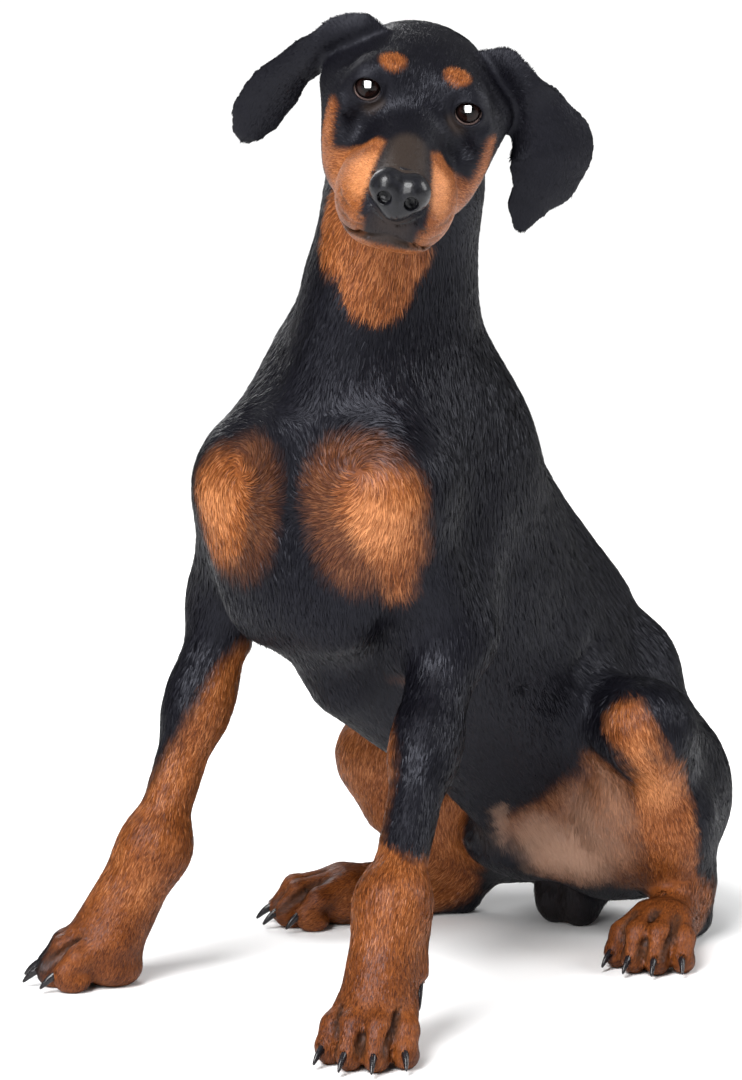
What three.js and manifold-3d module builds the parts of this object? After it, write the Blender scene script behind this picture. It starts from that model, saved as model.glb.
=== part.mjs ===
// Doberman pinscher, an adolescent with natural ears, sitting on the floor: a still, life-size model.
// Millimetres, +Z up, the dog faces -Y. Left and right are the dog's own.
// The flesh is one soft form, modelled whole and parted with thin flat cuts into the parts a person
// would name. Eyes, ears, nose leather and claws sit in seats of their own.

import * as THREE from "three";
import { edgeTable, triTable } from "three/addons/objects/MarchingCubes.js";
import { mergeVertices } from "three/addons/utils/BufferGeometryUtils.js";
import initManifold from "manifold-3d";

const manifoldModule = await initManifold();
manifoldModule.setup();
const { Manifold, Mesh: ManifoldMesh } = manifoldModule;

// Sizes and places that drive the model

const GAP = 0.3; // clear space at every cut and seat

const TORSO = {
  ribs: { centre: [0, 66, 350], radii: [86, 140, 126], lean: 37 }, // lean: depth axis above the level, deg
  lastRibs: { centre: [0, 148, 268], radii: [82, 118, 118], lean: 40 },
  loin: { centre: [2, 246, 192], radii: [74, 104, 110], lean: 46 },
  pelvis: { centre: [4, 318, 112], radii: [76, 68, 98], lean: 20 },
  breast: [0, -28, 362],
  withers: [0, 142, 416],
};
const NECK = [
  { at: [0, 92, 392], r: 84 },
  { at: [0, 60, 446], r: 72 },
  { at: [17, 46, 520], r: 56 },
  { at: [38, 38, 592], r: 50 },
  { at: [52, 22, 634], r: 48 },
];
const FORE = {
  left: { blade: [36, 96, 420], shoulder: [60, -12, 370], elbow: [80, 38, 268], wrist: [135, -92, 103] },
  right: { blade: [-38, 98, 420], shoulder: [-62, -12, 366], elbow: [-106, 8, 284], wrist: [-120, -62, 103] },
};
const HIND = {
  left: { hip: [58, 318, 128], knee: [122, 226, 178], hock: [106, 300, 44], calf: [114, 266, 106] },
  right: { hip: [-54, 322, 125], knee: [-120, 206, 132], hock: [-84, 268, 40], calf: [-112, 214, 96] },
};
const FOREPAW = {
  left: { at: [147, -128, 0], turn: -26, side: 1 }, // turn: toes away from -Y, degrees about +Z
  right: { at: [-151, -99, 0], turn: 48, side: -1 },
};
const HINDPAW = {
  left: { at: [139, 216, 0], turn: -20, side: 1, heel: [101, 318, 14] },
  right: { at: [-146, 158, 0], turn: 35, side: -1, heel: [-84, 262, 14] },
};
const TAIL = [
  { at: [2, 366, 92], r: 26 },
  { at: [0, 400, 48], r: 21 },
  { at: [-30, 432, 22], r: 17 },
  { at: [-92, 452, 15], r: 14 },
  { at: [-160, 436, 11], r: 10 },
  { at: [-212, 404, 7], r: 6 },
];
const HEAD = { at: [127, -56, 657], yaw: 37.5, pitch: 13, roll: 14 }; // at: midway between the eyes
const EYE = { at: [35.5, -1, -9], r: 11.4, lid: 3, slit: [10.4, 8.4] };
const NOSE = { at: [0, -39, 98], apart: 8.5, radii: [12.5, 13.5, 14] };
const CLAW = { r: 4.2, length: 17, drop: 9 };

// Places and frames

const vec = (p) => new THREE.Vector3(...p);
const deg = THREE.MathUtils.degToRad;
const between = (a, b, t) => a.map((value, i) => value + (b[i] - value) * t);

/** Frame of the head: x to the dog's left, y up the skull, z out along the muzzle. */
const headFrame = (() => {
  const yaw = deg(HEAD.yaw);
  const pitch = deg(HEAD.pitch);
  const out = new THREE.Vector3(
    Math.sin(yaw) * Math.cos(pitch), -Math.cos(yaw) * Math.cos(pitch), -Math.sin(pitch));
  const left = new THREE.Vector3(Math.cos(yaw), Math.sin(yaw), 0);
  const up = new THREE.Vector3().crossVectors(out, left).normalize();
  if (up.z < 0) up.negate();
  const roll = deg(HEAD.roll);
  const y = up.clone().multiplyScalar(Math.cos(roll)).addScaledVector(left, Math.sin(roll));
  const x = left.clone().multiplyScalar(Math.cos(roll)).addScaledVector(up, -Math.sin(roll));
  return new THREE.Matrix4().makeBasis(x, y, out).setPosition(vec(HEAD.at));
})();

/** Frame of a paw: x across it, y toward the toes, z up. */
function pawFrame({ at, turn }) {
  const toward = new THREE.Vector3(-Math.sin(deg(turn)), -Math.cos(deg(turn)), 0);
  const up = new THREE.Vector3(0, 0, 1);
  const across = new THREE.Vector3().crossVectors(toward, up);
  return new THREE.Matrix4().makeBasis(across, toward, up).setPosition(vec(at));
}

const placed = (frame, p) => vec(p).applyMatrix4(frame).toArray();

// Clay: a form is a function giving the distance to its surface, and a ball that holds it

const clay = (at, centre, reach) => ({ at, centre, reach });

/** A tapered rod with round ends. */
function rod(a, b, ra, rb = ra) {
  const d = [b[0] - a[0], b[1] - a[1], b[2] - a[2]];
  const span = d[0] * d[0] + d[1] * d[1] + d[2] * d[2];
  const at = (x, y, z) => {
    const px = x - a[0], py = y - a[1], pz = z - a[2];
    const t = Math.min(1, Math.max(0, (px * d[0] + py * d[1] + pz * d[2]) / span));
    return Math.hypot(px - t * d[0], py - t * d[1], pz - t * d[2]) - ra - (rb - ra) * t;
  };
  return clay(at, between(a, b, 0.5), Math.sqrt(span) / 2 + Math.max(ra, rb));
}

/** A rounded mass with three radii. */
function mass(centre, radii) {
  const [rx, ry, rz] = radii;
  const at = (x, y, z) => {
    const px = (x - centre[0]) / rx, py = (y - centre[1]) / ry, pz = (z - centre[2]) / rz;
    const near = Math.hypot(px, py, pz);
    const slope = Math.hypot(px / rx, py / ry, pz / rz);
    return slope < 1e-9 ? -Math.min(rx, ry, rz) : (near * (near - 1)) / slope;
  };
  return clay(at, centre, Math.max(rx, ry, rz));
}

/** A form given in a frame of its own. */
function posed(frame, form) {
  const e = frame.clone().invert().elements;
  const at = (x, y, z) => form.at(
    e[0] * x + e[4] * y + e[8] * z + e[12],
    e[1] * x + e[5] * y + e[9] * z + e[13],
    e[2] * x + e[6] * y + e[10] * z + e[14]);
  return clay(at, placed(frame, form.centre), form.reach);
}

/** A mass leaning in the middle plane of the dog. */
function leaning({ centre, radii, lean }) {
  const frame = new THREE.Matrix4().makeRotationX(deg(lean)).setPosition(vec(centre));
  return posed(frame, mass([0, 0, 0], radii));
}

/** Least distance from a point to a form, from its holding ball. */
const clearOf = (form, x, y, z) =>
  Math.hypot(x - form.centre[0], y - form.centre[1], z - form.centre[2]) - form.reach;

/** Joins forms, each with a fillet of `soft`. */
function melt(soft, ...forms) {
  const at = (x, y, z) => {
    let d = 1e9;
    for (const form of forms) {
      if (clearOf(form, x, y, z) > d + soft) continue;
      const other = form.at(x, y, z);
      const h = Math.max(soft - Math.abs(d - other), 0) / soft;
      d = Math.min(d, other) - h * h * soft * 0.25;
    }
    return d;
  };
  const box = new THREE.Box3();
  for (const form of forms) {
    box.expandByPoint(vec(form.centre).addScalar(form.reach));
    box.expandByPoint(vec(form.centre).addScalar(-form.reach));
  }
  const centre = box.getCenter(new THREE.Vector3()).toArray();
  const reach = Math.max(...forms.map((form) => vec(form.centre).distanceTo(vec(centre)) + form.reach));
  return clay(at, centre, reach);
}

/** Takes tools away from a form, with an edge rounded by `soft`. */
function carve(soft, form, ...tools) {
  const at = (x, y, z) => {
    let d = form.at(x, y, z);
    for (const tool of tools) {
      if (clearOf(tool, x, y, z) + d > soft) continue;
      const inside = -tool.at(x, y, z);
      const h = Math.max(soft - Math.abs(d - inside), 0) / soft;
      d = Math.max(d, inside) + h * h * soft * 0.25;
    }
    return d;
  };
  return clay(at, form.centre, form.reach);
}

/** A row of rods through stations of given radius. */
const strand = (soft, stations) => melt(soft, ...stations.slice(1).map((next, i) =>
  rod(stations[i].at, next.at, stations[i].r, next.r)));

/** The same form on both sides of its frame. */
const pair = (make) => [make(1), make(-1)];

// Torso and neck

function torsoClay() {
  const { ribs, lastRibs, loin, pelvis, breast, withers } = TORSO;
  const barrel = melt(50, leaning(ribs), leaning(lastRibs), leaning(loin), leaning(pelvis));
  const keel = rod(breast, [0, -34, 300], 26, 24);
  const belly = rod([0, 20, 230], [4, 190, 138], 27, 26);
  const back = rod(withers, [4, 296, 258], 27, 38);
  const croup = pair((side) => mass([side * 36, 327, 194], [38, 38, 50]));
  const lap = mass([0, 246, 76], [58, 58, 32]);
  const pectorals = pair((side) => mass([side * 40, -34, 322], [36, 26, 58]));
  const buttocks = pair((side) => mass([side * 40, 330, 66], [36, 34, 44]));
  const innerThighs = pair((side) => mass([side * 50, 288, 72], [34, 60, 46]));
  return melt(26, barrel, keel, belly, back, lap, ...croup, ...pectorals, ...buttocks, ...innerThighs);
}

function neckClay() {
  const throat = rod([2, -10, 420], [42, -4, 574], 37, 28);
  const crest = melt(20, rod([0, 120, 436], [20, 76, 560], 34, 26), rod([18, 78, 560], [40, 50, 648], 30, 35));
  const slopes = pair((side) => rod([side * 26, 34, 452], [side * 60, 0, 392], 46, 38));
  return melt(30, strand(30, NECK), throat, crest, ...slopes);
}

// Legs

function foreClay({ blade, shoulder, elbow, wrist }) {
  const point = between(elbow, shoulder, -0.04);
  const side = Math.sign(elbow[0]);
  const blades = rod(blade, shoulder, 27, 40);
  const upper = rod(shoulder, elbow, 42, 30);
  const triceps = rod(between(blade, elbow, 0.45), [elbow[0] - side * 4, elbow[1] + 12, elbow[2] + 8], 34, 24);
  const lower = rod(elbow, between(elbow, wrist, 0.45), 26, 22);
  const shin = rod(between(elbow, wrist, 0.4), wrist, 20.5, 18);
  const olecranon = rod([point[0], point[1] + 14, point[2]], [elbow[0], elbow[1] + 18, elbow[2] - 6], 14, 13);
  const knobs = mass([wrist[0], wrist[1], wrist[2] - 4], [20.5, 20, 18]);
  return melt(22, blades, upper, triceps, lower, shin, olecranon, knobs);
}

function hindClay({ hip, knee, hock, calf }) {
  const side = Math.sign(knee[0]);
  const thigh = rod(hip, knee, 58, 31);
  const ham = rod([hip[0] + side * 6, hip[1] + 12, hip[2] - 20], between(knee, hock, 0.62), 46, 30);
  const outer = mass([side * 84, hip[1] - 18, 96], [38, 62, 54]);
  const shank = melt(10, rod(knee, hock, 29, 18), rod(calf, hock, 31, 20));
  const cap = mass([knee[0], knee[1] - 8, knee[2] + 2], [23, 22, 27]);
  const inner = mass([side * 82, hip[1] - 54, 112], [34, 50, 54]);
  const fold = rod(knee, [side * 50, knee[1] - 2, knee[2] + 16], 24, 34);
  return melt(26, thigh, ham, outer, shank, cap, inner, fold);
}

// Paws: x across, y toward the toes, z up

const TOES = [
  { x: -27, knuckle: [8, 25], tip: 25 },
  { x: -9.5, knuckle: [20, 29], tip: 38 },
  { x: 9.5, knuckle: [20, 29], tip: 38 },
  { x: 27, knuckle: [8, 25], tip: 25 },
];

/** One toe: an arched row of bones under the skin, with its pad. */
function toeClay({ x, knuckle, tip }, r) {
  const root = [x * 0.5, -18, 34];
  const bend = [x * 0.92, knuckle[0], knuckle[1]];
  const end = [x * 1.02, tip - 6, 14];
  return melt(5, rod(root, bend, r + 2, r), rod(bend, end, r, r - 0.6), mass([x, tip - 12, 8], [9, 13, 9]));
}

function forepawClay(paw, wrist) {
  const frame = pawFrame(paw);
  const toes = melt(3.5, ...TOES.map((toe) => toeClay(toe, 9.6)));
  const palm = mass([0, -10, 16], [27, 20, 17]);
  const heelPad = mass([0, -22, 12], [21, 16, 13]);
  const foot = melt(9, toes, palm, heelPad);
  const local = vec(wrist).applyMatrix4(frame.clone().invert()).toArray();
  const pastern = melt(12, rod(local, [0, -16, 38], 23, 25), rod(local, [0, -6, 36], 19, 22));
  const dew = rod([-20, local[1] - 4, local[2] - 26], [-25, local[1] + 6, local[2] - 46], 8, 7);
  return posed(frame, melt(12, foot, pastern, mirrorAcross(dew, paw.side)));
}

/** A form of the left paw, turned over for the right one where side is -1. */
function mirrorAcross(form, side) {
  const at = (x, y, z) => form.at(x * side, y, z);
  return clay(at, [form.centre[0] * side, form.centre[1], form.centre[2]], form.reach);
}

function hindpawClay(paw, hock) {
  const frame = pawFrame(paw);
  const into = frame.clone().invert();
  const heel = vec(paw.heel).applyMatrix4(into).toArray();
  const joint = vec(hock).applyMatrix4(into).toArray();
  const toes = melt(3.5, ...TOES.map((toe) => toeClay({ ...toe, x: toe.x * 0.95 }, 9.2)));
  const palm = mass([0, -14, 15], [25, 22, 16]);
  const sole = rod([heel[0], heel[1] + 8, 16], [0, -24, 20], 16, 18);
  const top = rod(joint, [0, -18, 26], 16, 17);
  const point = rod(heel, joint, 14, 18);
  return posed(frame, melt(12, melt(9, toes, palm), sole, top, point));
}

// Head: x to the dog's left, y up, z out along the muzzle; 0 is midway between the eyes

function headClay() {
  const skull = [
    mass([0, -9, -62], [57, 36, 58]),
    mass([0, -12, -96], [44, 40, 42]),
    mass([0, 0, -34], [40, 18, 30]),
    mass([0, 2, -72], [44, 27, 42]),
    ...pair((s) => rod([s * 43, -12, -12], [s * 55, -12, -58], 10, 13)),
    ...pair((s) => mass([s * 29, 8, -15], [14, 9, 12])),
    ...pair((s) => mass([s * 42, -38, -36], [18, 32, 36])),
  ];
  const muzzle = [
    rod([0, -26, -10], [0, -40, 86], 24, 16),
    rod([0, -42, 0], [0, -50, 84], 30, 20),
    ...pair((s) => mass([s * 22, -57, 42], [20, 27, 48])),
    ...pair((s) => mass([s * 15, -60, 76], [15, 14, 24])),
  ];
  const jaw = [
    mass([0, -75, 74], [19, 10, 20]),
    ...pair((s) => rod([s * 13, -76, 66], [s * 32, -70, -34], 10, 17)),
    rod([0, -72, 40], [0, -72, -40], 14, 22),
  ];
  const form = melt(16, melt(22, ...skull), melt(14, ...muzzle), melt(12, ...jaw));
  const mouth = pair((s) => melt(2, rod([0, -70, 101], [s * 17, -73, 93], 2.2), rod([s * 17, -73, 93],
    [s * 38, -80, 52], 2.4), rod([s * 38, -80, 52], [s * 42, -72, 6], 2.4, 2)));
  const philtrum = rod([0, -57, 108], [0, -70, 103], 1.8);
  const hollows = pair((s) => mass([s * 38, -24, 24], [9, 11, 24]));
  const temples = pair((s) => mass([s * 66, 18, -30], [15, 13, 24]));
  const sockets = pair((s) => mass([s * 37, EYE.at[1], EYE.at[2] + 12], [13, 10, 10]));
  const carved = carve(2.5, carve(9, form, ...hollows, ...temples, ...sockets), ...mouth, philtrum);
  return posed(headFrame, melt(3, melt(5, carved, ...pair(lidClay)), noseClay()));
}

/** Lids: a ball a little larger than the eye, opened by an almond slit. */
function lidClay(s) {
  const [x, y, z] = EYE.at;
  const ball = mass([s * x, y, z], [EYE.r + EYE.lid, EYE.r + EYE.lid, EYE.r + EYE.lid]);
  const slit = mass([s * x, y, z + EYE.r], [EYE.slit[0], EYE.slit[1], 10]);
  return carve(1, ball, slit);
}

/** Nose leather: a broad pad with two comma-shaped nostrils. */
function noseClay() {
  const [, y, z] = NOSE.at;
  const pad = melt(6, ...pair((s) => mass([s * NOSE.apart, y + 1, z], NOSE.radii)),
    mass([0, y - 8, z + 1], [12, 12, 13]));
  const nostrils = pair((s) => melt(3, rod([s * 9.5, y - 3, z + 22], [s * 9, y - 3, z + 6], 4.6, 4),
    rod([s * 13, y - 6, z + 18], [s * 22, y - 7, z + 4], 2.6, 2)));
  return carve(1.2, pad, ...nostrils);
}

// The dog as one form

/** The hollow between the right elbow and the chest, from front to back. */
const ARMPIT = [[-46, -22, 264], [-108, 54, 252]];

function dogClay() {
  const sheath = rod([2, 160, 128], [3, 232, 66], 13, 17);
  const scrotum = melt(8, mass([-6, 284, 22], [17, 21, 24]), mass([16, 286, 22], [17, 21, 24]));
  const trunk = carve(10, melt(22, torsoClay(), foreClay(FORE.left), foreClay(FORE.right),
    hindClay(HIND.left), hindClay(HIND.right)), rod(...ARMPIT, 10));
  const body = melt(14, melt(40, trunk, neckClay()), sheath, scrotum, strand(10, TAIL));
  return melt(18, body, headClay(),
    forepawClay(FOREPAW.left, FORE.left.wrist), forepawClay(FOREPAW.right, FORE.right.wrist),
    hindpawClay(HINDPAW.left, HIND.left.hock), hindpawClay(HINDPAW.right, HIND.right.hock));
}

// Surface of a form: marching cubes in a box

/** Grid edges that a cube's twelve edges lie on: corner offset and axis. */
const CUBE_EDGES = [
  [0, 0, 0, 0], [1, 0, 0, 1], [0, 1, 0, 0], [0, 0, 0, 1],
  [0, 0, 1, 0], [1, 0, 1, 1], [0, 1, 1, 0], [0, 0, 1, 1],
  [0, 0, 0, 2], [1, 0, 0, 2], [1, 1, 0, 2], [0, 1, 0, 2],
];
const CUBE_CORNERS = [
  [0, 0, 0], [1, 0, 0], [1, 1, 0], [0, 1, 0], [0, 0, 1], [1, 0, 1], [1, 1, 1], [0, 1, 1],
];

/** Distances on a grid; blocks well clear of the surface are filled without a look at each point. */
function sampled(form, low, cell, size) {
  const [nx, ny, nz] = size;
  const field = new Float32Array(nx * ny * nz);
  const block = 5;
  const clear = cell * block * 1.9;
  for (let k0 = 0; k0 < nz; k0 += block) for (let j0 = 0; j0 < ny; j0 += block)
    for (let i0 = 0; i0 < nx; i0 += block) {
      const half = (block - 1) / 2;
      const middle = form.at(low[0] + (i0 + half) * cell, low[1] + (j0 + half) * cell,
        low[2] + (k0 + half) * cell);
      const known = Math.abs(middle) > clear;
      for (let k = k0; k < Math.min(k0 + block, nz); k++) for (let j = j0; j < Math.min(j0 + block, ny); j++)
        for (let i = i0; i < Math.min(i0 + block, nx); i++) {
          const edge = i === 0 || j === 0 || k === 0 || i === nx - 1 || j === ny - 1 || k === nz - 1;
          let d = known ? middle : form.at(low[0] + i * cell, low[1] + j * cell, low[2] + k * cell);
          if (edge) d = Math.max(d, cell * 0.5);
          if (Math.abs(d) < cell * 0.05) d = cell * (d < 0 ? -0.05 : 0.05);
          field[i + nx * (j + ny * k)] = d;
        }
    }
  return field;
}

function surface(form, low, high, cell) {
  const size = low.map((value, i) => Math.ceil((high[i] - value) / cell) + 1);
  const [nx, ny, nz] = size;
  const field = sampled(form, low, cell, size);
  const step = [1, nx, nx * ny];
  const points = [];
  const faces = [];
  const known = new Map();
  const pointOn = (corner, i, j, k, axis) => {
    const key = corner * 3 + axis;
    let id = known.get(key);
    if (id === undefined) {
      const d0 = field[corner];
      const t = d0 / (d0 - field[corner + step[axis]]);
      const p = [low[0] + i * cell, low[1] + j * cell, low[2] + k * cell];
      p[axis] += t * cell;
      id = points.length / 3;
      points.push(...p);
      known.set(key, id);
    }
    return id;
  };
  for (let k = 0; k < nz - 1; k++) for (let j = 0; j < ny - 1; j++) for (let i = 0; i < nx - 1; i++) {
    let bits = 0;
    CUBE_CORNERS.forEach(([a, b, c], n) => {
      if (field[i + a + nx * (j + b + ny * (k + c))] < 0) bits |= 1 << n;
    });
    if (edgeTable[bits] === 0) continue;
    for (let n = bits * 16; triTable[n] !== -1; n += 3) {
      const tri = [0, 1, 2].map((m) => {
        const [a, b, c, axis] = CUBE_EDGES[triTable[n + m]];
        return pointOn(i + a + nx * (j + b + ny * (k + c)), i + a, j + b, k + c, axis);
      });
      if (tri[0] !== tri[1] && tri[1] !== tri[2] && tri[2] !== tri[0]) faces.push(tri[0], tri[2], tri[1]);
    }
  }
  return { points: Float64Array.from(points), faces: Int32Array.from(faces) };
}

// Fewer triangles: flattest edges closed up first

/** Plane sums: squared distance to the planes of the faces round a point. */
function planeSums(points, faces) {
  const sums = new Float64Array((points.length / 3) * 10);
  const a = new THREE.Vector3(), b = new THREE.Vector3(), c = new THREE.Vector3();
  const normal = new THREE.Vector3();
  for (let f = 0; f < faces.length; f += 3) {
    a.fromArray(points, faces[f] * 3);
    b.fromArray(points, faces[f + 1] * 3).sub(a);
    c.fromArray(points, faces[f + 2] * 3).sub(a);
    normal.crossVectors(b, c);
    const area = normal.length();
    if (area < 1e-12) continue;
    normal.divideScalar(area);
    const n = [normal.x, normal.y, normal.z, -normal.dot(a)];
    for (let m = 0; m < 3; m++) {
      let slot = faces[f + m] * 10;
      for (let i = 0; i < 4; i++) for (let j = i; j < 4; j++) sums[slot++] += n[i] * n[j] * area;
    }
  }
  return sums;
}

/** Cost of a place against a plane sum. */
function costAt(q, x, y, z) {
  return q[0] * x * x + 2 * q[1] * x * y + 2 * q[2] * x * z + 2 * q[3] * x + q[4] * y * y
    + 2 * q[5] * y * z + 2 * q[6] * y + q[7] * z * z + 2 * q[8] * z + q[9];
}

/** Best place for two points made one, and its cost. */
function bestPlace(sums, points, u, v) {
  const q = new Float64Array(10);
  for (let i = 0; i < 10; i++) q[i] = sums[u * 10 + i] + sums[v * 10 + i];
  const mid = [0, 1, 2].map((i) => (points[u * 3 + i] + points[v * 3 + i]) / 2);
  const long2 = [0, 1, 2].reduce((s, i) => s + (points[u * 3 + i] - points[v * 3 + i]) ** 2, 0);
  const hold = (q[0] + q[4] + q[7]) * 0.002 + 1e-9;
  const m = new THREE.Matrix3().set(q[0] + hold, q[1], q[2], q[1], q[4] + hold, q[5], q[2], q[5], q[7] + hold);
  const side = new THREE.Vector3(-q[3] + hold * mid[0], -q[6] + hold * mid[1], -q[8] + hold * mid[2]);
  let place = mid;
  if (Math.abs(m.determinant()) > 1e-15) {
    const best = side.applyMatrix3(m.invert());
    if (best.distanceToSquared(vec(mid)) < long2 * 1.5) place = best.toArray();
  }
  return { place, cost: Math.max(costAt(q, ...place), 0) + hold * long2 * 0.02 };
}

/** A heap of edges with the least cost on top. */
class Heap {
  items = [];

  push(item) {
    const { items } = this;
    let i = items.push(item) - 1;
    while (i > 0) {
      const up = (i - 1) >> 1;
      if (items[up].cost <= item.cost) break;
      items[i] = items[up];
      i = up;
    }
    items[i] = item;
  }

  pop() {
    const { items } = this;
    const top = items[0];
    const last = items.pop();
    const count = items.length;
    if (count === 0) return top;
    let i = 0;
    for (;;) {
      let next = 2 * i + 1;
      if (next >= count) break;
      if (next + 1 < count && items[next + 1].cost < items[next].cost) next++;
      if (items[next].cost >= last.cost) break;
      items[i] = items[next];
      i = next;
    }
    items[i] = last;
    return top;
  }
}

/** Would moving a point of a face to `place` turn the face over or draw it out thin? */
function spoils(points, tri, moved, place, facing) {
  const at = tri.map((v) => new THREE.Vector3().fromArray(points, v * 3));
  const before = shapeOf(at);
  at[tri.indexOf(moved)].fromArray(place);
  const after = shapeOf(at);
  if (after.round < Math.min(0.1, before.round)) return true;
  if (before.round > 0.1 && after.normal.dot(before.normal) < 0.4) return true;
  return after.normal.dot(facing) < 0.2;
}

/** Unit normal of a triangle, and how round it is: twice its area over its longest edge squared. */
function shapeOf([a, b, c]) {
  const e0 = b.clone().sub(a), e1 = c.clone().sub(a), e2 = c.clone().sub(b);
  const longest = Math.max(e0.lengthSq(), e1.lengthSq(), e2.lengthSq());
  const normal = e0.cross(e1);
  const double = normal.length();
  return { normal: normal.divideScalar(double || 1), round: double / longest };
}

/** Closes up edges of a closed mesh until it has `count` triangles; `care` weighs the places to keep. */
function thinned({ points, faces }, count, care = () => 1) {
  const sums = planeSums(points, faces);
  const total = points.length / 3;
  for (let v = 0; v < total; v++) {
    const weight = care(points[v * 3], points[v * 3 + 1], points[v * 3 + 2]);
    for (let i = 0; i < 10; i++) sums[v * 10 + i] *= weight;
  }
  const tris = [];
  const around = Array.from({ length: total }, () => new Set());
  for (let f = 0; f < faces.length; f += 3) {
    const tri = [faces[f], faces[f + 1], faces[f + 2]];
    tri.forEach((v) => around[v].add(tris.length));
    tris.push(tri);
  }
  const facings = Array.from({ length: total }, () => new THREE.Vector3());
  for (const tri of tris) {
    const [a, b, c] = tri.map((v) => new THREE.Vector3().fromArray(points, v * 3));
    const normal = b.sub(a).cross(c.sub(a));
    for (const v of tri) facings[v].add(normal);
  }
  const stamp = new Int32Array(total);
  const heap = new Heap();
  const offer = (u, v) => heap.push({ ...bestPlace(sums, points, u, v), u, v, seen: stamp[u] + stamp[v] });
  const beside = (v) => {
    const found = new Set();
    for (const t of around[v]) for (const w of tris[t]) if (w !== v) found.add(w);
    return found;
  };
  const offerAll = () => {
    for (let v = 0; v < total; v++) for (const w of beside(v)) if (w > v) offer(v, w);
  };
  let left = tris.length;
  let before = Infinity;
  while (left > count) {
    if (heap.items.length === 0) {
      if (left === before) break;
      before = left;
      offerAll();
    }
    const { u, v, place, seen } = heap.pop();
    if (around[u].size === 0 || around[v].size === 0 || seen !== stamp[u] + stamp[v]) continue;
    const near = beside(u);
    if (!near.has(v)) continue;
    let shared = 0;
    const far = beside(v);
    for (const w of far) if (near.has(w)) shared++;
    if (shared !== 2) continue;
    const facing = facings[u].clone().add(facings[v]).normalize();
    const bad = (a, b) => [...around[a]].some((t) =>
      !tris[t].includes(b) && spoils(points, tris[t], a, place, facing));
    if (bad(u, v) || bad(v, u)) continue;
    facings[u].add(facings[v]);
    points.set(place, u * 3);
    for (let i = 0; i < 10; i++) sums[u * 10 + i] += sums[v * 10 + i];
    for (const t of [...around[v]]) {
      const tri = tris[t];
      if (tri.includes(u)) {
        tri.forEach((w) => around[w].delete(t));
        tris[t] = null;
        left--;
      } else {
        tri[tri.indexOf(v)] = u;
        around[u].add(t);
      }
    }
    around[v].clear();
    stamp[u]++;
    for (const w of beside(u)) offer(u, w);
  }
  return packed(points, tris.filter(Boolean));
}

/** Points and faces with the unused points left out. */
function packed(points, tris) {
  const place = new Map();
  const kept = [];
  const faces = tris.flat().map((v) => {
    if (!place.has(v)) {
      place.set(v, place.size);
      kept.push(points[v * 3], points[v * 3 + 1], points[v * 3 + 2]);
    }
    return place.get(v);
  });
  return { points: Float64Array.from(kept), faces: Int32Array.from(faces) };
}

// Solids and cuts

const asSolid = ({ points, faces }) => new Manifold(new ManifoldMesh({
  numProp: 3, vertProperties: Float32Array.from(points), triVerts: Uint32Array.from(faces) }));

/** A solid from a closed three.js geometry. */
function solidOf(geometry) {
  const bare = new THREE.BufferGeometry();
  bare.setAttribute("position", geometry.getAttribute("position"));
  if (geometry.index) bare.setIndex(geometry.index);
  const merged = mergeVertices(bare, 1e-4);
  const index = [...merged.index.array];
  const faces = [];
  for (let i = 0; i < index.length; i += 3) {
    const [a, b, c] = index.slice(i, i + 3);
    if (a !== b && b !== c && c !== a) faces.push(a, b, c);
  }
  return asSolid({ points: merged.getAttribute("position").array, faces });
}

/** All that lies beyond a plane: the side its normal points to, widened by `grow`. */
function beyond({ point, normal }, grow) {
  const wide = 2400;
  const out = vec(normal).normalize();
  const turn = new THREE.Quaternion().setFromUnitVectors(new THREE.Vector3(0, 0, 1), out);
  const middle = vec(point).addScaledVector(out, wide / 2 - grow);
  const box = new THREE.BoxGeometry(wide, wide, wide);
  box.applyMatrix4(new THREE.Matrix4().compose(middle, turn, new THREE.Vector3(1, 1, 1)));
  return solidOf(box);
}

/** A zone of the dog bounded by planes. */
function zone(planes, grow = 0) {
  return planes.slice(1).reduce((solid, plane) => solid.intersect(beyond(plane, grow)), beyond(planes[0], grow));
}

/** The largest piece of a solid. */
function mainPiece(solid) {
  return solid.decompose().reduce((best, piece) => (piece.volume() > best.volume() ? piece : best));
}

// Eyes, ears and claws

/** A ball for an eye, or the seat it sits in when widened. */
function eyeBall(side, grow = 0) {
  const ball = new THREE.SphereGeometry(EYE.r + grow, 16, 10);
  ball.rotateX(Math.PI / 2);
  ball.translate(side * EYE.at[0], EYE.at[1], EYE.at[2]);
  return solidOf(ball.applyMatrix4(headFrame));
}

/** A closed skin through rings of points, with a flat end at each side; a ring folds onto itself. */
function lofted(rings) {
  const n = rings[0].length;
  const faces = [];
  for (let k = 0; k < rings.length - 1; k++) for (let i = 0; i < n; i++) {
    const a = k * n + i, b = k * n + ((i + 1) % n);
    faces.push(a, b, b + n, a, b + n, a + n);
  }
  const last = (rings.length - 1) * n;
  for (let i = 0; i < n / 2 - 1; i++) {
    const [a, b, c, d] = [i, i + 1, n - 2 - i, n - 1 - i];
    faces.push(b, a, d, b, d, c, last + a, last + b, last + c, last + a, last + c, last + d);
  }
  return { points: Float64Array.from(rings.flat(2)), faces: Int32Array.from(faces) };
}

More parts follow.
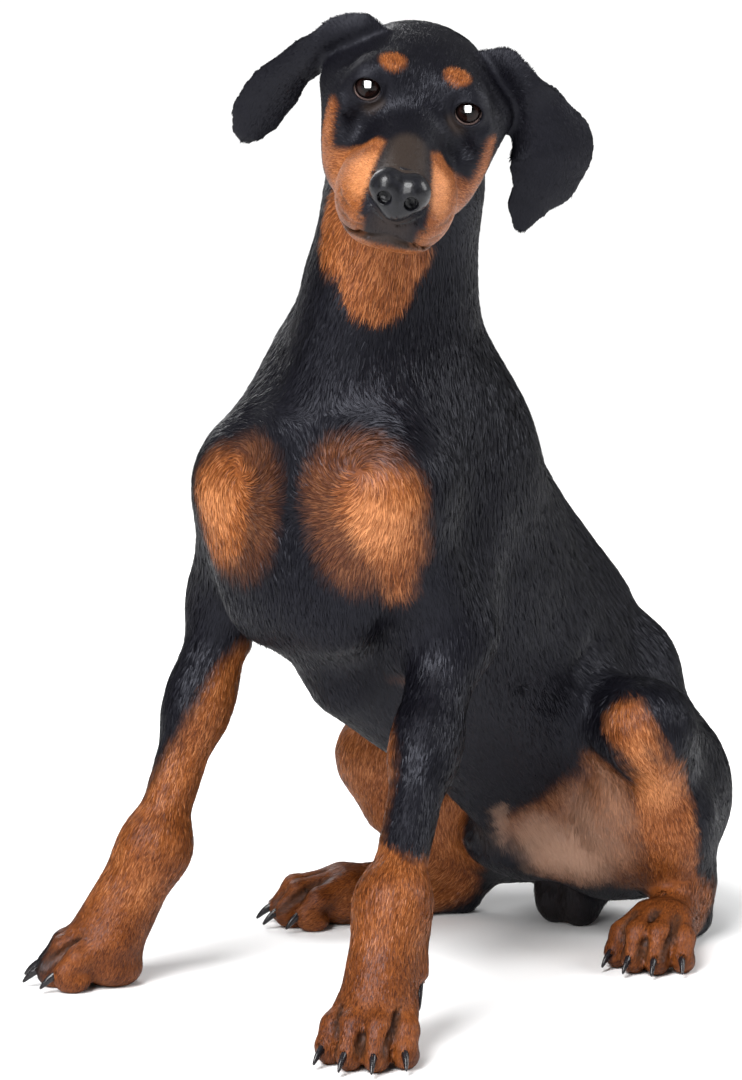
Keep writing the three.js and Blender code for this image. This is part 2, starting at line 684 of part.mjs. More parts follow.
/** The ears in the frame of the head: stations down the middle of the flap. */
const EARS = {
  left: [
    { at: [30, 14, -68], across: [-0.25, 0.86, 0.45], half: 13, thick: 6, cup: 0.6 },
    { at: [45, 18, -66], across: [-0.18, 0.88, 0.45], half: 14.5, thick: 5, cup: 0.8 },
    { at: [56, 17, -64], across: [-0.19, 0.84, 0.5], half: 20, thick: 4.2, cup: 0.7 },
    { at: [69, 7, -60], across: [0.12, 0.86, 0.48], half: 21.5, thick: 3.4, cup: 0.5 },
    { at: [86, -7, -60], across: [0.6, 0.7, -0.1], half: 24.5, thick: 3, cup: 0.32 },
    { at: [102, -27, -61], across: [0.83, 0.45, -0.34], half: 33.5, thick: 2.8, cup: 0.24 },
    { at: [102, -49, -60], across: [0.86, 0.38, -0.35], half: 28.5, thick: 2.6, cup: 0.2 },
    { at: [96, -69, -58], across: [0.85, 0.37, -0.36], half: 17, thick: 2.4, cup: 0.18 },
    { at: [95, -82, -57], across: [0.87, 0.34, -0.37], half: 9, thick: 2.1, cup: 0.12 },
    { at: [96, -88, -57], across: [0.84, 0.39, -0.38], half: 4, thick: 1.7, cup: 0.1 },
  ],
  right: [
    { at: [-28, 18, -62], across: [0.24, 0.87, 0.42], half: 13, thick: 6, cup: -0.5 },
    { at: [-47, 18, -64], across: [0.26, 0.86, 0.42], half: 17.5, thick: 4.8, cup: -0.7 },
    { at: [-60, 11, -67], across: [0.24, 0.87, 0.42], half: 18.5, thick: 4, cup: -0.66 },
    { at: [-74, -3, -70], across: [0.16, 0.88, 0.42], half: 17.5, thick: 3.3, cup: -0.5 },
    { at: [-88, -19, -78], across: [-0.34, 0.88, 0.3], half: 15, thick: 2.9, cup: -0.4 },
    { at: [-99, -41, -89], across: [-0.64, 0.72, 0.21], half: 19.5, thick: 2.7, cup: -0.3 },
    { at: [-107, -63, -98], across: [-0.72, 0.66, 0.15], half: 18.5, thick: 2.5, cup: -0.25 },
    { at: [-110, -78, -103], across: [-0.8, 0.55, 0.1], half: 12.5, thick: 2.2, cup: -0.2 },
    { at: [-110, -86, -106], across: [-0.87, 0.43, 0.13], half: 4.5, thick: 1.8, cup: -0.1 },
  ],
};

/** An ear: a thin flap lofted along its middle, cupped at the root. */
function earSolid(stations, grow = 0) {
  const spine = new THREE.CatmullRomCurve3(stations.map(({ at }) => vec(at)));
  const steps = Math.round((stations.length - 1) * 1.6);
  const rings = [];
  for (let k = 0; k <= steps; k++) {
    const t = k / steps;
    const low = Math.min(Math.floor(t * (stations.length - 1)), stations.length - 2);
    const mix = t * (stations.length - 1) - low;
    const [a, b] = [stations[low], stations[low + 1]];
    const blend = (name) => a[name] + (b[name] - a[name]) * mix;
    const along = spine.getTangent(t);
    const across = vec(between(a.across, b.across, mix));
    across.addScaledVector(along, -across.dot(along)).normalize();
    const out = new THREE.Vector3().crossVectors(across, along).normalize();
    const centre = spine.getPoint(t).addScaledVector(along, k === 0 ? -grow : k === steps ? grow : 0);
    rings.push(earRing(centre, across, out, { half: blend("half"), thick: blend("thick"), cup: blend("cup") }, grow));
  }
  return asSolid(transformed(lofted(rings), headFrame));
}

/** One section of an ear: a thin band bent into a cup, its thickness square to the bend. */
function earRing(centre, across, out, { half, thick, cup }, grow) {
  const count = 7;
  const wide = half * (1 - 0.12 * Math.abs(cup));
  const at = (s, sign) => {
    const slope = (2 * cup * half * s) / wide;
    const long = Math.hypot(1, slope);
    const h = sign * ((thick / 2) * Math.sqrt(1.08 - s * s * 0.8) + grow);
    const end = (Math.abs(s) === 1 ? s * grow : 0) / long;
    return centre.clone().addScaledVector(across, s * wide - (h * slope) / long + end)
      .addScaledVector(out, cup * half * (s * s - 0.5) + h / long + end * slope).toArray();
  };
  const places = Array.from({ length: count }, (_, i) => -1 + (2 * i) / (count - 1));
  return [...places.map((s) => at(s, 1)), ...places.reverse().map((s) => at(s, -1))];
}

function transformed({ points, faces }, matrix) {
  const attribute = new THREE.BufferAttribute(Float64Array.from(points), 3);
  attribute.applyMatrix4(matrix);
  return { points: attribute.array, faces };
}

/** A claw from its root, curving down; widened, it is the seat in the toe. */
function clawSolid(frame, root, toward, grow = 0) {
  const ahead = vec(toward).normalize();
  const side = new THREE.Vector3(0, 0, 1).cross(ahead).normalize();
  const rings = [];
  const steps = 4;
  for (let k = 0; k <= steps; k++) {
    const t = k / steps;
    const along = t * CLAW.length - (k === 0 ? grow : 0) + (k === steps ? grow : 0);
    const centre = vec(root).addScaledVector(ahead, along);
    centre.z -= CLAW.drop * t * t;
    const r = CLAW.r * Math.sqrt(1 - 0.93 * t ** 1.6) + grow;
    const tilt = new THREE.Vector3(0, 0, 1).addScaledVector(ahead, 0.9 * t).normalize();
    const ring = [];
    for (let i = 0; i < 6; i++) {
      const angle = (i / 6) * Math.PI * 2;
      ring.push(centre.clone().addScaledVector(side, Math.cos(angle) * r * 0.8)
        .addScaledVector(tilt, Math.sin(angle) * r).toArray());
    }
    rings.push(ring);
  }
  return asSolid(transformed(lofted(rings), frame));
}

/** Places of the claws of a paw: toe by toe, the inner one first; a forepaw has a dewclaw too. */
function clawPlaces(paw, wrist) {
  const reach = wrist ? 1 : 0.95;
  const places = TOES.map(({ x, tip }, i) => ({
    name: `claw_${i + 1}`, root: [x * 1.02 * reach, tip - 4, 15], toward: [x * 0.012, 1, -0.12] }));
  if (paw.side > 0) places.reverse();
  if (wrist) {
    const local = vec(wrist).applyMatrix4(pawFrame(paw).invert()).toArray();
    places.push({ name: "dewclaw", root: [-paw.side * 26, local[1] + 7, local[2] - 50],
      toward: [-paw.side * 0.15, 0.7, -0.7] });
  }
  return places;
}

// Zones of the parts: planes, each with the way into the part

const headPlane = {
  point: placed(headFrame, [0, -30, -88]),
  normal: vec([0, 0.74, 0.67]).transformDirection(headFrame).toArray(),
};
const ZONES = {
  head: [headPlane],
  tail: [{ point: [0, 392, 60], normal: [0, 0.9, -0.43] }],
  forepaw_left: [
    { point: [138, -100, 80], normal: [0.1, -0.35, -0.93] }, { point: [60, 0, 0], normal: [1, 0, 0] },
    { point: [0, 60, 0], normal: [0, -1, 0] }],
  forepaw_right: [
    { point: [-124, -64, 80], normal: [-0.1, -0.3, -0.93] }, { point: [-60, 0, 0], normal: [-1, 0, 0] },
    { point: [0, 60, 0], normal: [0, -1, 0] }],
  hindfoot_left: [
    { point: [104, 300, 50], normal: [0, 0.05, -1] }, { point: [60, 0, 0], normal: [1, 0.05, 0] },
    { point: [0, 80, 0], normal: [0, 1, 0] }, { point: [0, 356, 0], normal: [0, -1, 0] }],
  hindfoot_right: [
    { point: [-86, 262, 48], normal: [0, 0.05, -1] }, { point: [-52, 0, 0], normal: [-1, 0.05, 0] },
    { point: [0, 80, 0], normal: [0, 1, 0] }, { point: [0, 322, 0], normal: [0, -1, 0] }],
  foreleg_left: [
    { point: [92, 14, 240], normal: [0.23, -0.6, -0.77] }, { point: [60, 22, 240], normal: [0.98, 0.2, 0] },
    { point: [0, 60, 0], normal: [0, -1, 0] }],
  foreleg_right: [
    { point: [-100, 2, 250], normal: [-0.16, -0.4, -0.9] }, { point: [-66, 10, 250], normal: [-0.98, 0.2, 0] },
    { point: [0, 44, 0], normal: [0, -1, 0] }],
  shank_left: [
    { point: [118, 206, 158], normal: [0, -0.62, -0.78] }, { point: [54, 0, 0], normal: [1, 0, 0] },
    { point: [0, 130, 0], normal: [0, 1, 0] }],
  shank_right: [
    { point: [-110, 198, 126], normal: [0, -0.5, -0.87] }, { point: [-50, 0, 0], normal: [-1, 0, 0] },
    { point: [0, 100, 0], normal: [0, 1, 0] }],
  thigh_left: [
    { point: [50, 0, 120], normal: [1, 0, -0.08] }, { point: [0, 200, 236], normal: [0, 0, -1] },
    { point: [0, 130, 170], normal: [0, 1, 0] }],
  thigh_right: [
    { point: [-48, 0, 120], normal: [-1, 0, -0.08] }, { point: [0, 200, 232], normal: [0, 0, -1] },
    { point: [0, 120, 150], normal: [0, 1, 0] }],
  neck: [{ point: [2, 66, 448], normal: [0.12, -0.3, 0.95] }],
  chest: [{ point: [0, 180, 235], normal: [0, -0.8, 0.6] }],
  abdomen: [],
};

/** A form kept near a part's own zone and clear of the zones taken before it. */
function keptNear(form, planes, taken, margin) {
  const inward = ({ point, normal }) => {
    const n = vec(normal).normalize();
    return [n.x, n.y, n.z, -n.dot(vec(point))];
  };
  const own = planes.map(inward);
  const others = taken.map((other) => other.map(inward));
  const into = ([a, b, c, d], x, y, z) => a * x + b * y + c * z + d;
  const at = (x, y, z) => {
    let d = form.at(x, y, z);
    for (const plane of own) d = Math.max(d, -into(plane, x, y, z) - margin);
    for (const zonePlanes of others) {
      let depth = 1e9;
      for (const plane of zonePlanes) depth = Math.min(depth, into(plane, x, y, z));
      d = Math.max(d, depth - margin);
    }
    return d;
  };
  return clay(at, form.centre, form.reach);
}

/** How each part is surfaced: sampling box, cell and number of triangles. */
const SURFACING = {
  head: { low: [-40, -200, 500], high: [240, 90, 740], cell: 2, count: 4150 },
  neck: { low: [-130, -120, 380], high: [160, 210, 740], cell: 6, count: 680 },
  chest: { low: [-150, -130, 120], high: [150, 330, 500], cell: 6.5, count: 1080 },
  abdomen: { low: [-170, 60, -20], high: [170, 440, 400], cell: 6.5, count: 1050 },
  foreleg_left: { low: [30, -160, 60], high: [190, 110, 320], cell: 4.5, count: 420 },
  foreleg_right: { low: [-190, -140, 60], high: [-30, 110, 340], cell: 4.5, count: 420 },
  forepaw_left: { low: [85, -200, -8], high: [215, -40, 130], cell: 2.4, count: 640 },
  forepaw_right: { low: [-225, -170, -8], high: [-70, -10, 130], cell: 2.4, count: 640 },
  thigh_left: { low: [20, 130, 0], high: [170, 420, 260], cell: 5.5, count: 520 },
  thigh_right: { low: [-170, 110, 0], high: [-20, 420, 260], cell: 5.5, count: 520 },
  shank_left: { low: [30, 120, 20], high: [180, 400, 230], cell: 4, count: 460 },
  shank_right: { low: [-180, 90, 20], high: [-30, 400, 200], cell: 4, count: 460 },
  hindfoot_left: { low: [40, 140, -8], high: [200, 370, 80], cell: 2.4, count: 640 },
  hindfoot_right: { low: [-220, 80, -8], high: [-30, 320, 80], cell: 2.4, count: 640 },
  tail: { low: [-240, 330, -12], high: [60, 490, 140], cell: 4.5, count: 260 },
};

// Finishes

const FINISH = {
  coat_black: { color: 0x15151a, roughness: 0.55 },
  coat_tan: { color: 0x9a5222, roughness: 0.6 },
  leather_nose: { color: 0x0c0c0e, roughness: 0.35 },
  horn_claw: { color: 0x141312, roughness: 0.3 },
  eye_brown: { color: 0x20120c, roughness: 0.08 },
};
const TAN = new Set(["forepaw_left", "forepaw_right", "hindfoot_left", "hindfoot_right",
  "shank_left", "shank_right"]);

/** A named mesh from a solid. */
function meshOf(name, solid, finish) {
  const { vertProperties, triVerts, numProp } = solid.getMesh();
  const geometry = new THREE.BufferGeometry();
  const points = new Float32Array((vertProperties.length / numProp) * 3);
  for (let v = 0; v < points.length / 3; v++)
    for (let i = 0; i < 3; i++) points[v * 3 + i] = vertProperties[v * numProp + i];
  geometry.setAttribute("position", new THREE.BufferAttribute(points, 3));
  geometry.setIndex([...triVerts]);
  geometry.computeVertexNormals();
  const material = new THREE.MeshStandardMaterial({ name: finish, ...FINISH[finish] });
  const mesh = new THREE.Mesh(geometry, material);
  mesh.name = name;
  return mesh;
}

// Assembly

/** The flesh, parted: every zone takes its share of the one form. */
function fleshParts(form) {
  const floor = beyond({ point: [0, 0, 0], normal: [0, 0, 1] }, 0);
  const taken = [];
  const parts = {};
  for (const [name, planes] of Object.entries(ZONES)) {
    const { low, high, cell, count } = SURFACING[name];
    const care = name === "head" ? headCare : undefined;
    const near = keptNear(form, planes, taken, cell * 1.2);
    let solid = asSolid(thinned(surface(near, low, high, cell), count, care)).intersect(floor);
    if (planes.length) solid = solid.intersect(zone(planes));
    for (const other of taken) solid = solid.subtract(zone(other, GAP));
    if (planes.length) taken.push(planes);
    parts[name] = mainPiece(solid);
  }
  return parts;
}

/** More triangles for the face than for the back of the head. */
function headCare(x, y, z) {
  const p = new THREE.Vector3(x, y, z).applyMatrix4(headFrame.clone().invert());
  if (p.z > 80 || p.distanceTo(vec([Math.sign(p.x) * EYE.at[0], EYE.at[1], 0])) < 20) return 5;
  return p.z > -20 ? 2.5 : 0.5;
}

function build() {
  const group = new THREE.Group();
  const parts = fleshParts(dogClay());
  const noseZone = solidOf(new THREE.SphereGeometry(1, 14, 9).scale(24, 20.5, 18)
    .translate(0, NOSE.at[1] - 1.5, NOSE.at[2] + 2).applyMatrix4(headFrame));
  const noseSeat = solidOf(new THREE.SphereGeometry(1, 14, 9).scale(24.4, 20.9, 18.4)
    .translate(0, NOSE.at[1] - 1.5, NOSE.at[2] + 2).applyMatrix4(headFrame));
  const wholeHead = parts.head;
  group.add(meshOf("nose", mainPiece(wholeHead.intersect(noseZone)), "leather_nose"));
  let head = wholeHead.subtract(noseSeat);
  for (const [name, side] of [["left", 1], ["right", -1]]) {
    head = head.subtract(eyeBall(side, GAP)).subtract(earSolid(EARS[name], 2 * GAP));
    group.add(meshOf(`eye_${name}`, eyeBall(side), "eye_brown"));
    group.add(meshOf(`ear_${name}`, earSolid(EARS[name]), "coat_black"));
  }
  parts.head = mainPiece(head);
  const paws = [["forepaw_left", FOREPAW.left, FORE.left.wrist], ["forepaw_right", FOREPAW.right, FORE.right.wrist],
    ["hindfoot_left", HINDPAW.left], ["hindfoot_right", HINDPAW.right]];
  for (const [name, paw, wrist] of paws) {
    const frame = pawFrame(paw);
    for (const { name: claw, root, toward } of clawPlaces(paw, wrist)) {
      parts[name] = parts[name].subtract(clawSolid(frame, root, toward, GAP));
      group.add(meshOf(`${name}_${claw}`, clawSolid(frame, root, toward), "horn_claw"));
    }
    parts[name] = mainPiece(parts[name]);
  }
  for (const [name, solid] of Object.entries(parts))
    group.add(meshOf(name, solid, TAN.has(name) ? "coat_tan" : "coat_black"));
  const box = new THREE.Box3().setFromObject(group);
  const middle = box.getCenter(new THREE.Vector3());
  group.position.set(-middle.x, -middle.y, -box.min.z);
  return group;
}

export default build();
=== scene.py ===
"""A young doberman pinscher that sits with its forelegs braced apart, life size, as a museum model.

Lengths in the design are in millimetres in the dog's own frame: x to the dog's left, y to its
back, z up. The shapes are laid into the row frame, in metres, by the place of the two eyes.
"""

import logging
import math
from dataclasses import dataclass, field
from enum import Enum
from typing import Callable, Optional, Sequence

import bpy
import numpy as np
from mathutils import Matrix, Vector
from mathutils.bvhtree import BVHTree


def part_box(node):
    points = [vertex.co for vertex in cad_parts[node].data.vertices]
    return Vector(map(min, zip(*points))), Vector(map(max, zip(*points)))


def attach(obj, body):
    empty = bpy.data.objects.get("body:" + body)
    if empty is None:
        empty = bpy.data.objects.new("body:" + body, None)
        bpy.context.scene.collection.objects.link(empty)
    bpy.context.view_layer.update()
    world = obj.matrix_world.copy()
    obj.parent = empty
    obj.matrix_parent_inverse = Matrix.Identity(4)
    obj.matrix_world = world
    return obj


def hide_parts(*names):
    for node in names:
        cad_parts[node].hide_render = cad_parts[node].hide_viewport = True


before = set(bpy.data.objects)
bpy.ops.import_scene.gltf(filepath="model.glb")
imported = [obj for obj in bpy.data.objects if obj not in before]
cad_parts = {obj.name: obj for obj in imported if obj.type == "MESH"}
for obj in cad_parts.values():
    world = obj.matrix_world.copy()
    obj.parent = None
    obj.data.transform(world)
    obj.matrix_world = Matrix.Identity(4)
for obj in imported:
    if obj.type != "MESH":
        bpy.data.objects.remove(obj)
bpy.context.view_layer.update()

LOG = logging.getLogger("doberman")
Point = Sequence[float]


def unit(v: np.ndarray) -> np.ndarray:
    """Vectors scaled to length one, row by row."""
    return v / np.maximum(np.linalg.norm(v, axis=-1, keepdims=True), 1e-12)


def step(low: float, high: float, value: np.ndarray) -> np.ndarray:
    """A smooth rise from 0 at low to 1 at high."""
    t = np.clip((value - low) / (high - low), 0.0, 1.0)
    return t * t * (3.0 - 2.0 * t)


def between(a: Point, b: Point, t: float) -> np.ndarray:
    """The point, or the values, at share t from a to b."""
    return np.array(a, float) * (1 - t) + np.array(b, float) * t


# Clay: a form is a distance function with a ball that holds it


@dataclass(frozen=True)
class Form:
    """A solid given by its distance function.

    Attributes:
        at: gives the distance of each point to the surface, negative inside.
        centre: centre of a ball that holds the form.
        reach: radius of that ball.
    """

    at: Callable[[np.ndarray], np.ndarray]
    centre: np.ndarray
    reach: float

    def clear(self, p: np.ndarray) -> np.ndarray:
        """Least distance of points to the form, from its ball."""
        return np.linalg.norm(p - self.centre, axis=1) - self.reach


def rod(a: Point, b: Point, ra: float, rb: Optional[float] = None) -> Form:
    """A tapered rod with round ends from a to b.

    Args:
        a: its start.
        b: its end.
        ra: radius at the start.
        rb: radius at the end, the same as at the start unless given.

    Returns:
        The rod.
    """
    start, end = np.array(a, float), np.array(b, float)
    last = ra if rb is None else rb
    d = end - start
    span = float(d @ d)

    def at(p: np.ndarray) -> np.ndarray:
        """Distance of points to the rod."""
        q = p - start
        t = np.clip(q @ d / span, 0.0, 1.0)
        return np.linalg.norm(q - t[:, None] * d, axis=1) - ra - (last - ra) * t

    return Form(at, (start + end) / 2, math.sqrt(span) / 2 + max(ra, last))


def mass(centre: Point, radii: Point) -> Form:
    """A rounded mass with three radii.

    Args:
        centre: its middle.
        radii: its radii along x, y and z.

    Returns:
        The mass.
    """
    c, r = np.array(centre, float), np.array(radii, float)

    def at(p: np.ndarray) -> np.ndarray:
        """Distance of points to the mass, nearly."""
        q = (p - c) / r
        near = np.linalg.norm(q, axis=1)
        slope = np.maximum(np.linalg.norm(q / r, axis=1), 1e-9)
        return np.where(near < 1e-6, -r.min(), near * (near - 1) / slope)

    return Form(at, c, float(r.max()))


@dataclass(frozen=True)
class Frame3:
    """A frame: its origin and its three axes as rows."""

    origin: np.ndarray
    axes: np.ndarray

    def out(self, p: np.ndarray) -> np.ndarray:
        """Points of this frame, given in the dog's frame."""
        return np.asarray(p, float) @ self.axes + self.origin

    def into(self, p: np.ndarray) -> np.ndarray:
        """Points of the dog's frame, given in this frame."""
        return (np.asarray(p, float) - self.origin) @ self.axes.T


def posed(place: Frame3, form: Form) -> Form:
    """A form given in a frame of its own."""
    return Form(lambda p: form.at(place.into(p)), place.out(form.centre), form.reach)


def melt(soft: float, *forms: Form) -> Form:
    """Joins forms, each with a fillet of `soft`.

    Args:
        soft: reach of the fillets.
        forms: what is joined.

    Returns:
        The joined form.
    """

    def at(p: np.ndarray) -> np.ndarray:
        """Distance of points to the joined forms."""
        d = np.full(len(p), 1e9)
        for form in forms:
            near = np.nonzero(form.clear(p) <= d + soft)[0]
            if not len(near):
                continue
            own, other = d[near], form.at(p[near])
            h = np.maximum(soft - np.abs(own - other), 0.0) / soft
            d[near] = np.minimum(own, other) - h * h * soft * 0.25
        return d

    low = np.min([f.centre - f.reach for f in forms], axis=0)
    high = np.max([f.centre + f.reach for f in forms], axis=0)
    centre = (low + high) / 2
    reach = max(float(np.linalg.norm(f.centre - centre)) + f.reach for f in forms)
    return Form(at, centre, reach)


def carve(soft: float, form: Form, *tools: Form) -> Form:
    """Takes tools away from a form, with an edge rounded by `soft`.

    Args:
        soft: how round the edges of the cuts are.
        form: what is cut.
        tools: what is taken away.

    Returns:
        The cut form.
    """

    def at(p: np.ndarray) -> np.ndarray:
        """Distance of points to what is left of the form."""
        d = form.at(p)
        for tool in tools:
            near = np.nonzero(tool.clear(p) + d <= soft)[0]
            if not len(near):
                continue
            own, inside = d[near], -tool.at(p[near])
            h = np.maximum(soft - np.abs(own - inside), 0.0) / soft
            d[near] = np.maximum(own, inside) + h * h * soft * 0.25
        return d

    return Form(at, form.centre, form.reach)


def strand(soft: float, stations: Sequence[tuple[Point, float]]) -> Form:
    """A row of rods through stations, each a place and a radius."""
    pairs = zip(stations, stations[1:])
    return melt(soft, *[rod(a, b, ra, rb) for (a, ra), (b, rb) in pairs])


# The dog's parts as clay


class Side(Enum):
    """A side of the dog."""

    LEFT = 1
    RIGHT = -1


@dataclass(frozen=True)
class Trunk:
    """Barrel, loin, pelvis, chest and neck."""

    ribs: tuple = ((0, 66, 350), (86, 140, 126), 37)
    last_ribs: tuple = ((0, 148, 268), (82, 118, 118), 40)
    loin: tuple = ((2, 246, 192), (74, 104, 110), 46)
    pelvis: tuple = ((4, 318, 112), (76, 68, 98), 20)
    breast: tuple = (0, -28, 362)
    withers: tuple = (0, 142, 416)
    neck: tuple = (
        ((0, 92, 392), 84), ((0, 60, 446), 72), ((17, 46, 520), 56),
        ((38, 38, 592), 50), ((52, 22, 634), 48))

    @staticmethod
    def leaning(spec: tuple) -> Form:
        """A mass that leans in the middle plane of the dog.

        Args:
            spec: its middle, its radii and its lean in degrees.

        Returns:
            The mass.
        """
        centre, radii, lean = spec
        a = math.radians(lean)
        cos, sin = math.cos(a), math.sin(a)
        axes = np.array([[1, 0, 0], [0, cos, sin], [0, -sin, cos]])
        return posed(Frame3(np.array(centre, float), axes), mass((0, 0, 0), radii))

    def body(self) -> Form:
        """Torso with its chest, croup and inner thighs.

        Returns:
            The torso as one form.
        """
        masses = (self.ribs, self.last_ribs, self.loin, self.pelvis)
        barrel = melt(50, *[self.leaning(spec) for spec in masses])
        parts = [
            rod(self.breast, (0, -34, 300), 26, 24),
            rod((0, 20, 230), (4, 190, 138), 27, 26),
            rod(self.withers, (4, 296, 258), 27, 38),
            mass((0, 246, 76), (58, 58, 32))]
        for centre, radii in (((36, 327, 194), (38, 38, 50)), ((40, -34, 322), (36, 26, 58)),
                              ((40, 330, 66), (36, 34, 44)), ((50, 288, 72), (34, 60, 46))):
            parts += [mass((s * centre[0], centre[1], centre[2]), radii) for s in (1, -1)]
        return melt(26, barrel, *parts)

    def neck_form(self) -> Form:
        """Neck with throat, crest and the slopes to the shoulders.

        Returns:
            The neck as one form.
        """
        throat = rod((2, -10, 420), (42, -4, 574), 37, 28)
        crest = melt(20, rod((0, 120, 436), (20, 76, 560), 34, 26),
                     rod((18, 78, 560), (40, 50, 648), 30, 35))
        slopes = [rod((s * 26, 34, 452), (s * 60, 0, 392), 46, 38) for s in (1, -1)]
        return melt(30, strand(30, self.neck), throat, crest, *slopes)


@dataclass(frozen=True)
class ForeLeg:
    """A foreleg from the shoulder blade to the wrist."""

    side: Side
    blade: tuple
    shoulder: tuple
    elbow: tuple
    wrist: tuple

    def form(self) -> Form:
        """The leg's muscles and bones as one form.

        Returns:
            The leg as one form.
        """
        s, el, wr = self.side.value, self.elbow, self.wrist
        point = between(el, self.shoulder, -0.04)
        return melt(
            22,
            rod(self.blade, self.shoulder, 27, 40),
            rod(self.shoulder, el, 42, 30),
            rod(between(self.blade, el, 0.45), (el[0] - s * 4, el[1] + 12, el[2] + 8), 34, 24),
            rod(el, between(el, wr, 0.45), 26, 22),
            rod(between(el, wr, 0.4), wr, 20.5, 18),
            rod((point[0], point[1] + 14, point[2]), (el[0], el[1] + 18, el[2] - 6), 14, 13),
            mass((wr[0], wr[1], wr[2] - 4), (20.5, 20, 18)))


@dataclass(frozen=True)
class HindLeg:
    """A folded hind leg from the hip to the hock."""

    side: Side
    hip: tuple
    knee: tuple
    hock: tuple
    calf: tuple

    def form(self) -> Form:
        """The leg's muscles and bones as one form.

        Returns:
            The leg as one form.
        """
        s, hip, knee, hock = self.side.value, self.hip, self.knee, self.hock
        return melt(
            26,
            rod(hip, knee, 58, 31),
            rod((hip[0] + s * 6, hip[1] + 12, hip[2] - 20), between(knee, hock, 0.62), 46, 30),
            mass((s * 84, hip[1] - 18, 96), (38, 62, 54)),
            melt(10, rod(knee, hock, 29, 18), rod(self.calf, hock, 31, 20)),
            mass((knee[0], knee[1] - 8, knee[2] + 2), (23, 22, 27)),
            mass((s * 82, hip[1] - 54, 112), (34, 50, 54)),
            rod(knee, (s * 50, knee[1] - 2, knee[2] + 16), 24, 34))


# Of each toe: how far it stands to the side, its knuckle and its tip
TOES = ((-27, (8, 25), 25), (-9.5, (20, 29), 38), (9.5, (20, 29), 38), (27, (8, 25), 25))
CLEFTS = (-18.2, 0, 18.2)


@dataclass(frozen=True)
class Paw:
    """A paw: x across it, y toward the toes, z up.

    Attributes:
        name: the node of the paw.
        at: its middle on the floor.
        turn: how far the toes turn from straight ahead, in degrees about +Z.
        joint: wrist or hock.
        heel: point of the hock, for a hind paw.
    """

    name: str
    side: Side
    at: tuple
    turn: float
    joint: tuple
    heel: Optional[tuple] = None

    @property
    def place(self) -> Frame3:
        """The paw's frame.

        Returns:
            The frame, with its origin on the floor.
        """
        a = math.radians(self.turn)
        toward = np.array([-math.sin(a), -math.cos(a), 0.0])
        up = np.array([0.0, 0.0, 1.0])
        return Frame3(np.array(self.at, float), np.array([np.cross(toward, up), toward, up]))

    @property
    def reach(self) -> float:
        """How wide the toes stand."""
        return 1.0 if self.heel is None else 0.95

    def clefts(self) -> list:
        """Lines between the toes, in the paw's frame."""
        return [((x * self.reach, -2, 42), (x * 1.06 * self.reach, 36, 18)) for x in CLEFTS]

    def toe(self, x: float, knuckle: Point, tip: float, r: float) -> Form:
        """One toe: an arched row of bones under the skin, with its pad.

        Args:
            x: how far it stands to the side.
            knuckle: place of the knuckle, y and z.
            tip: how far out the toe ends.
            r: its radius.

        Returns:
            The toe as one form.
        """
        bend, end = (x * 0.92, *knuckle), (x * 1.02, tip - 6, 14)
        return melt(5, rod((x * 0.5, -18, 34), bend, r + 2, r), rod(bend, end, r, r - 0.6),
                    mass((x, tip - 12, 8), (9, 13, 9)))

    def form(self) -> Form:
        """The paw's clay, with the pastern or the hock.

        Returns:
            The paw as one form in the dog's frame.
        """
        local = self.place.into(np.array(self.joint))
        r = 9.6 if self.heel is None else 9.2
        toes = melt(3.5, *[self.toe(x * self.reach, knuckle, tip, r) for x, knuckle, tip in TOES])
        grooves = [rod((x * self.reach, -4, 44), (x * 1.06 * self.reach, 34, 20), 2.2, 2.6)
                   for x in CLEFTS]
        if self.heel is None:
            foot = melt(9, toes, mass((0, -10, 16), (27, 20, 17)), mass((0, -22, 12), (21, 16, 13)))
            pastern = melt(12, rod(local, (0, -16, 38), 23, 25), rod(local, (0, -6, 36), 19, 22))
            s = self.side.value
            dew = rod((-20 * s, local[1] - 4, local[2] - 26), (-25 * s, local[1] + 6, local[2] - 46), 8, 7)
            return posed(self.place, carve(3, melt(12, foot, pastern, dew), *grooves))
        heel = self.place.into(np.array(self.heel))
        sole = rod((heel[0], heel[1] + 8, 16), (0, -24, 20), 16, 18)
        whole = melt(12, melt(9, toes, mass((0, -14, 15), (25, 22, 16))), sole,
                     rod(local, (0, -18, 26), 16, 17), rod(heel, local, 14, 18))
        return posed(self.place, carve(3, whole, *grooves))


def head_place(at: Point, yaw: float, pitch: float, roll: float) -> Frame3:
    """Frame of the head: x to the dog's left, y up the skull, z out along the muzzle.

    Args:
        at: midway between the eyes.
        yaw: how far the head turns to its left, in degrees.
        pitch: how far the muzzle drops.
        roll: how far the head tilts.

    Returns:
        The frame.
    """
    a, b, c = (math.radians(v) for v in (yaw, pitch, roll))
    out = np.array([math.sin(a) * math.cos(b), -math.cos(a) * math.cos(b), -math.sin(b)])
    left = np.array([math.cos(a), math.sin(a), 0.0])
    up = unit(np.cross(out, left))
    up = -up if up[2] < 0 else up
    y = up * math.cos(c) + left * math.sin(c)
    x = left * math.cos(c) - up * math.sin(c)
    return Frame3(np.array(at, float), np.array([x, y, out]))


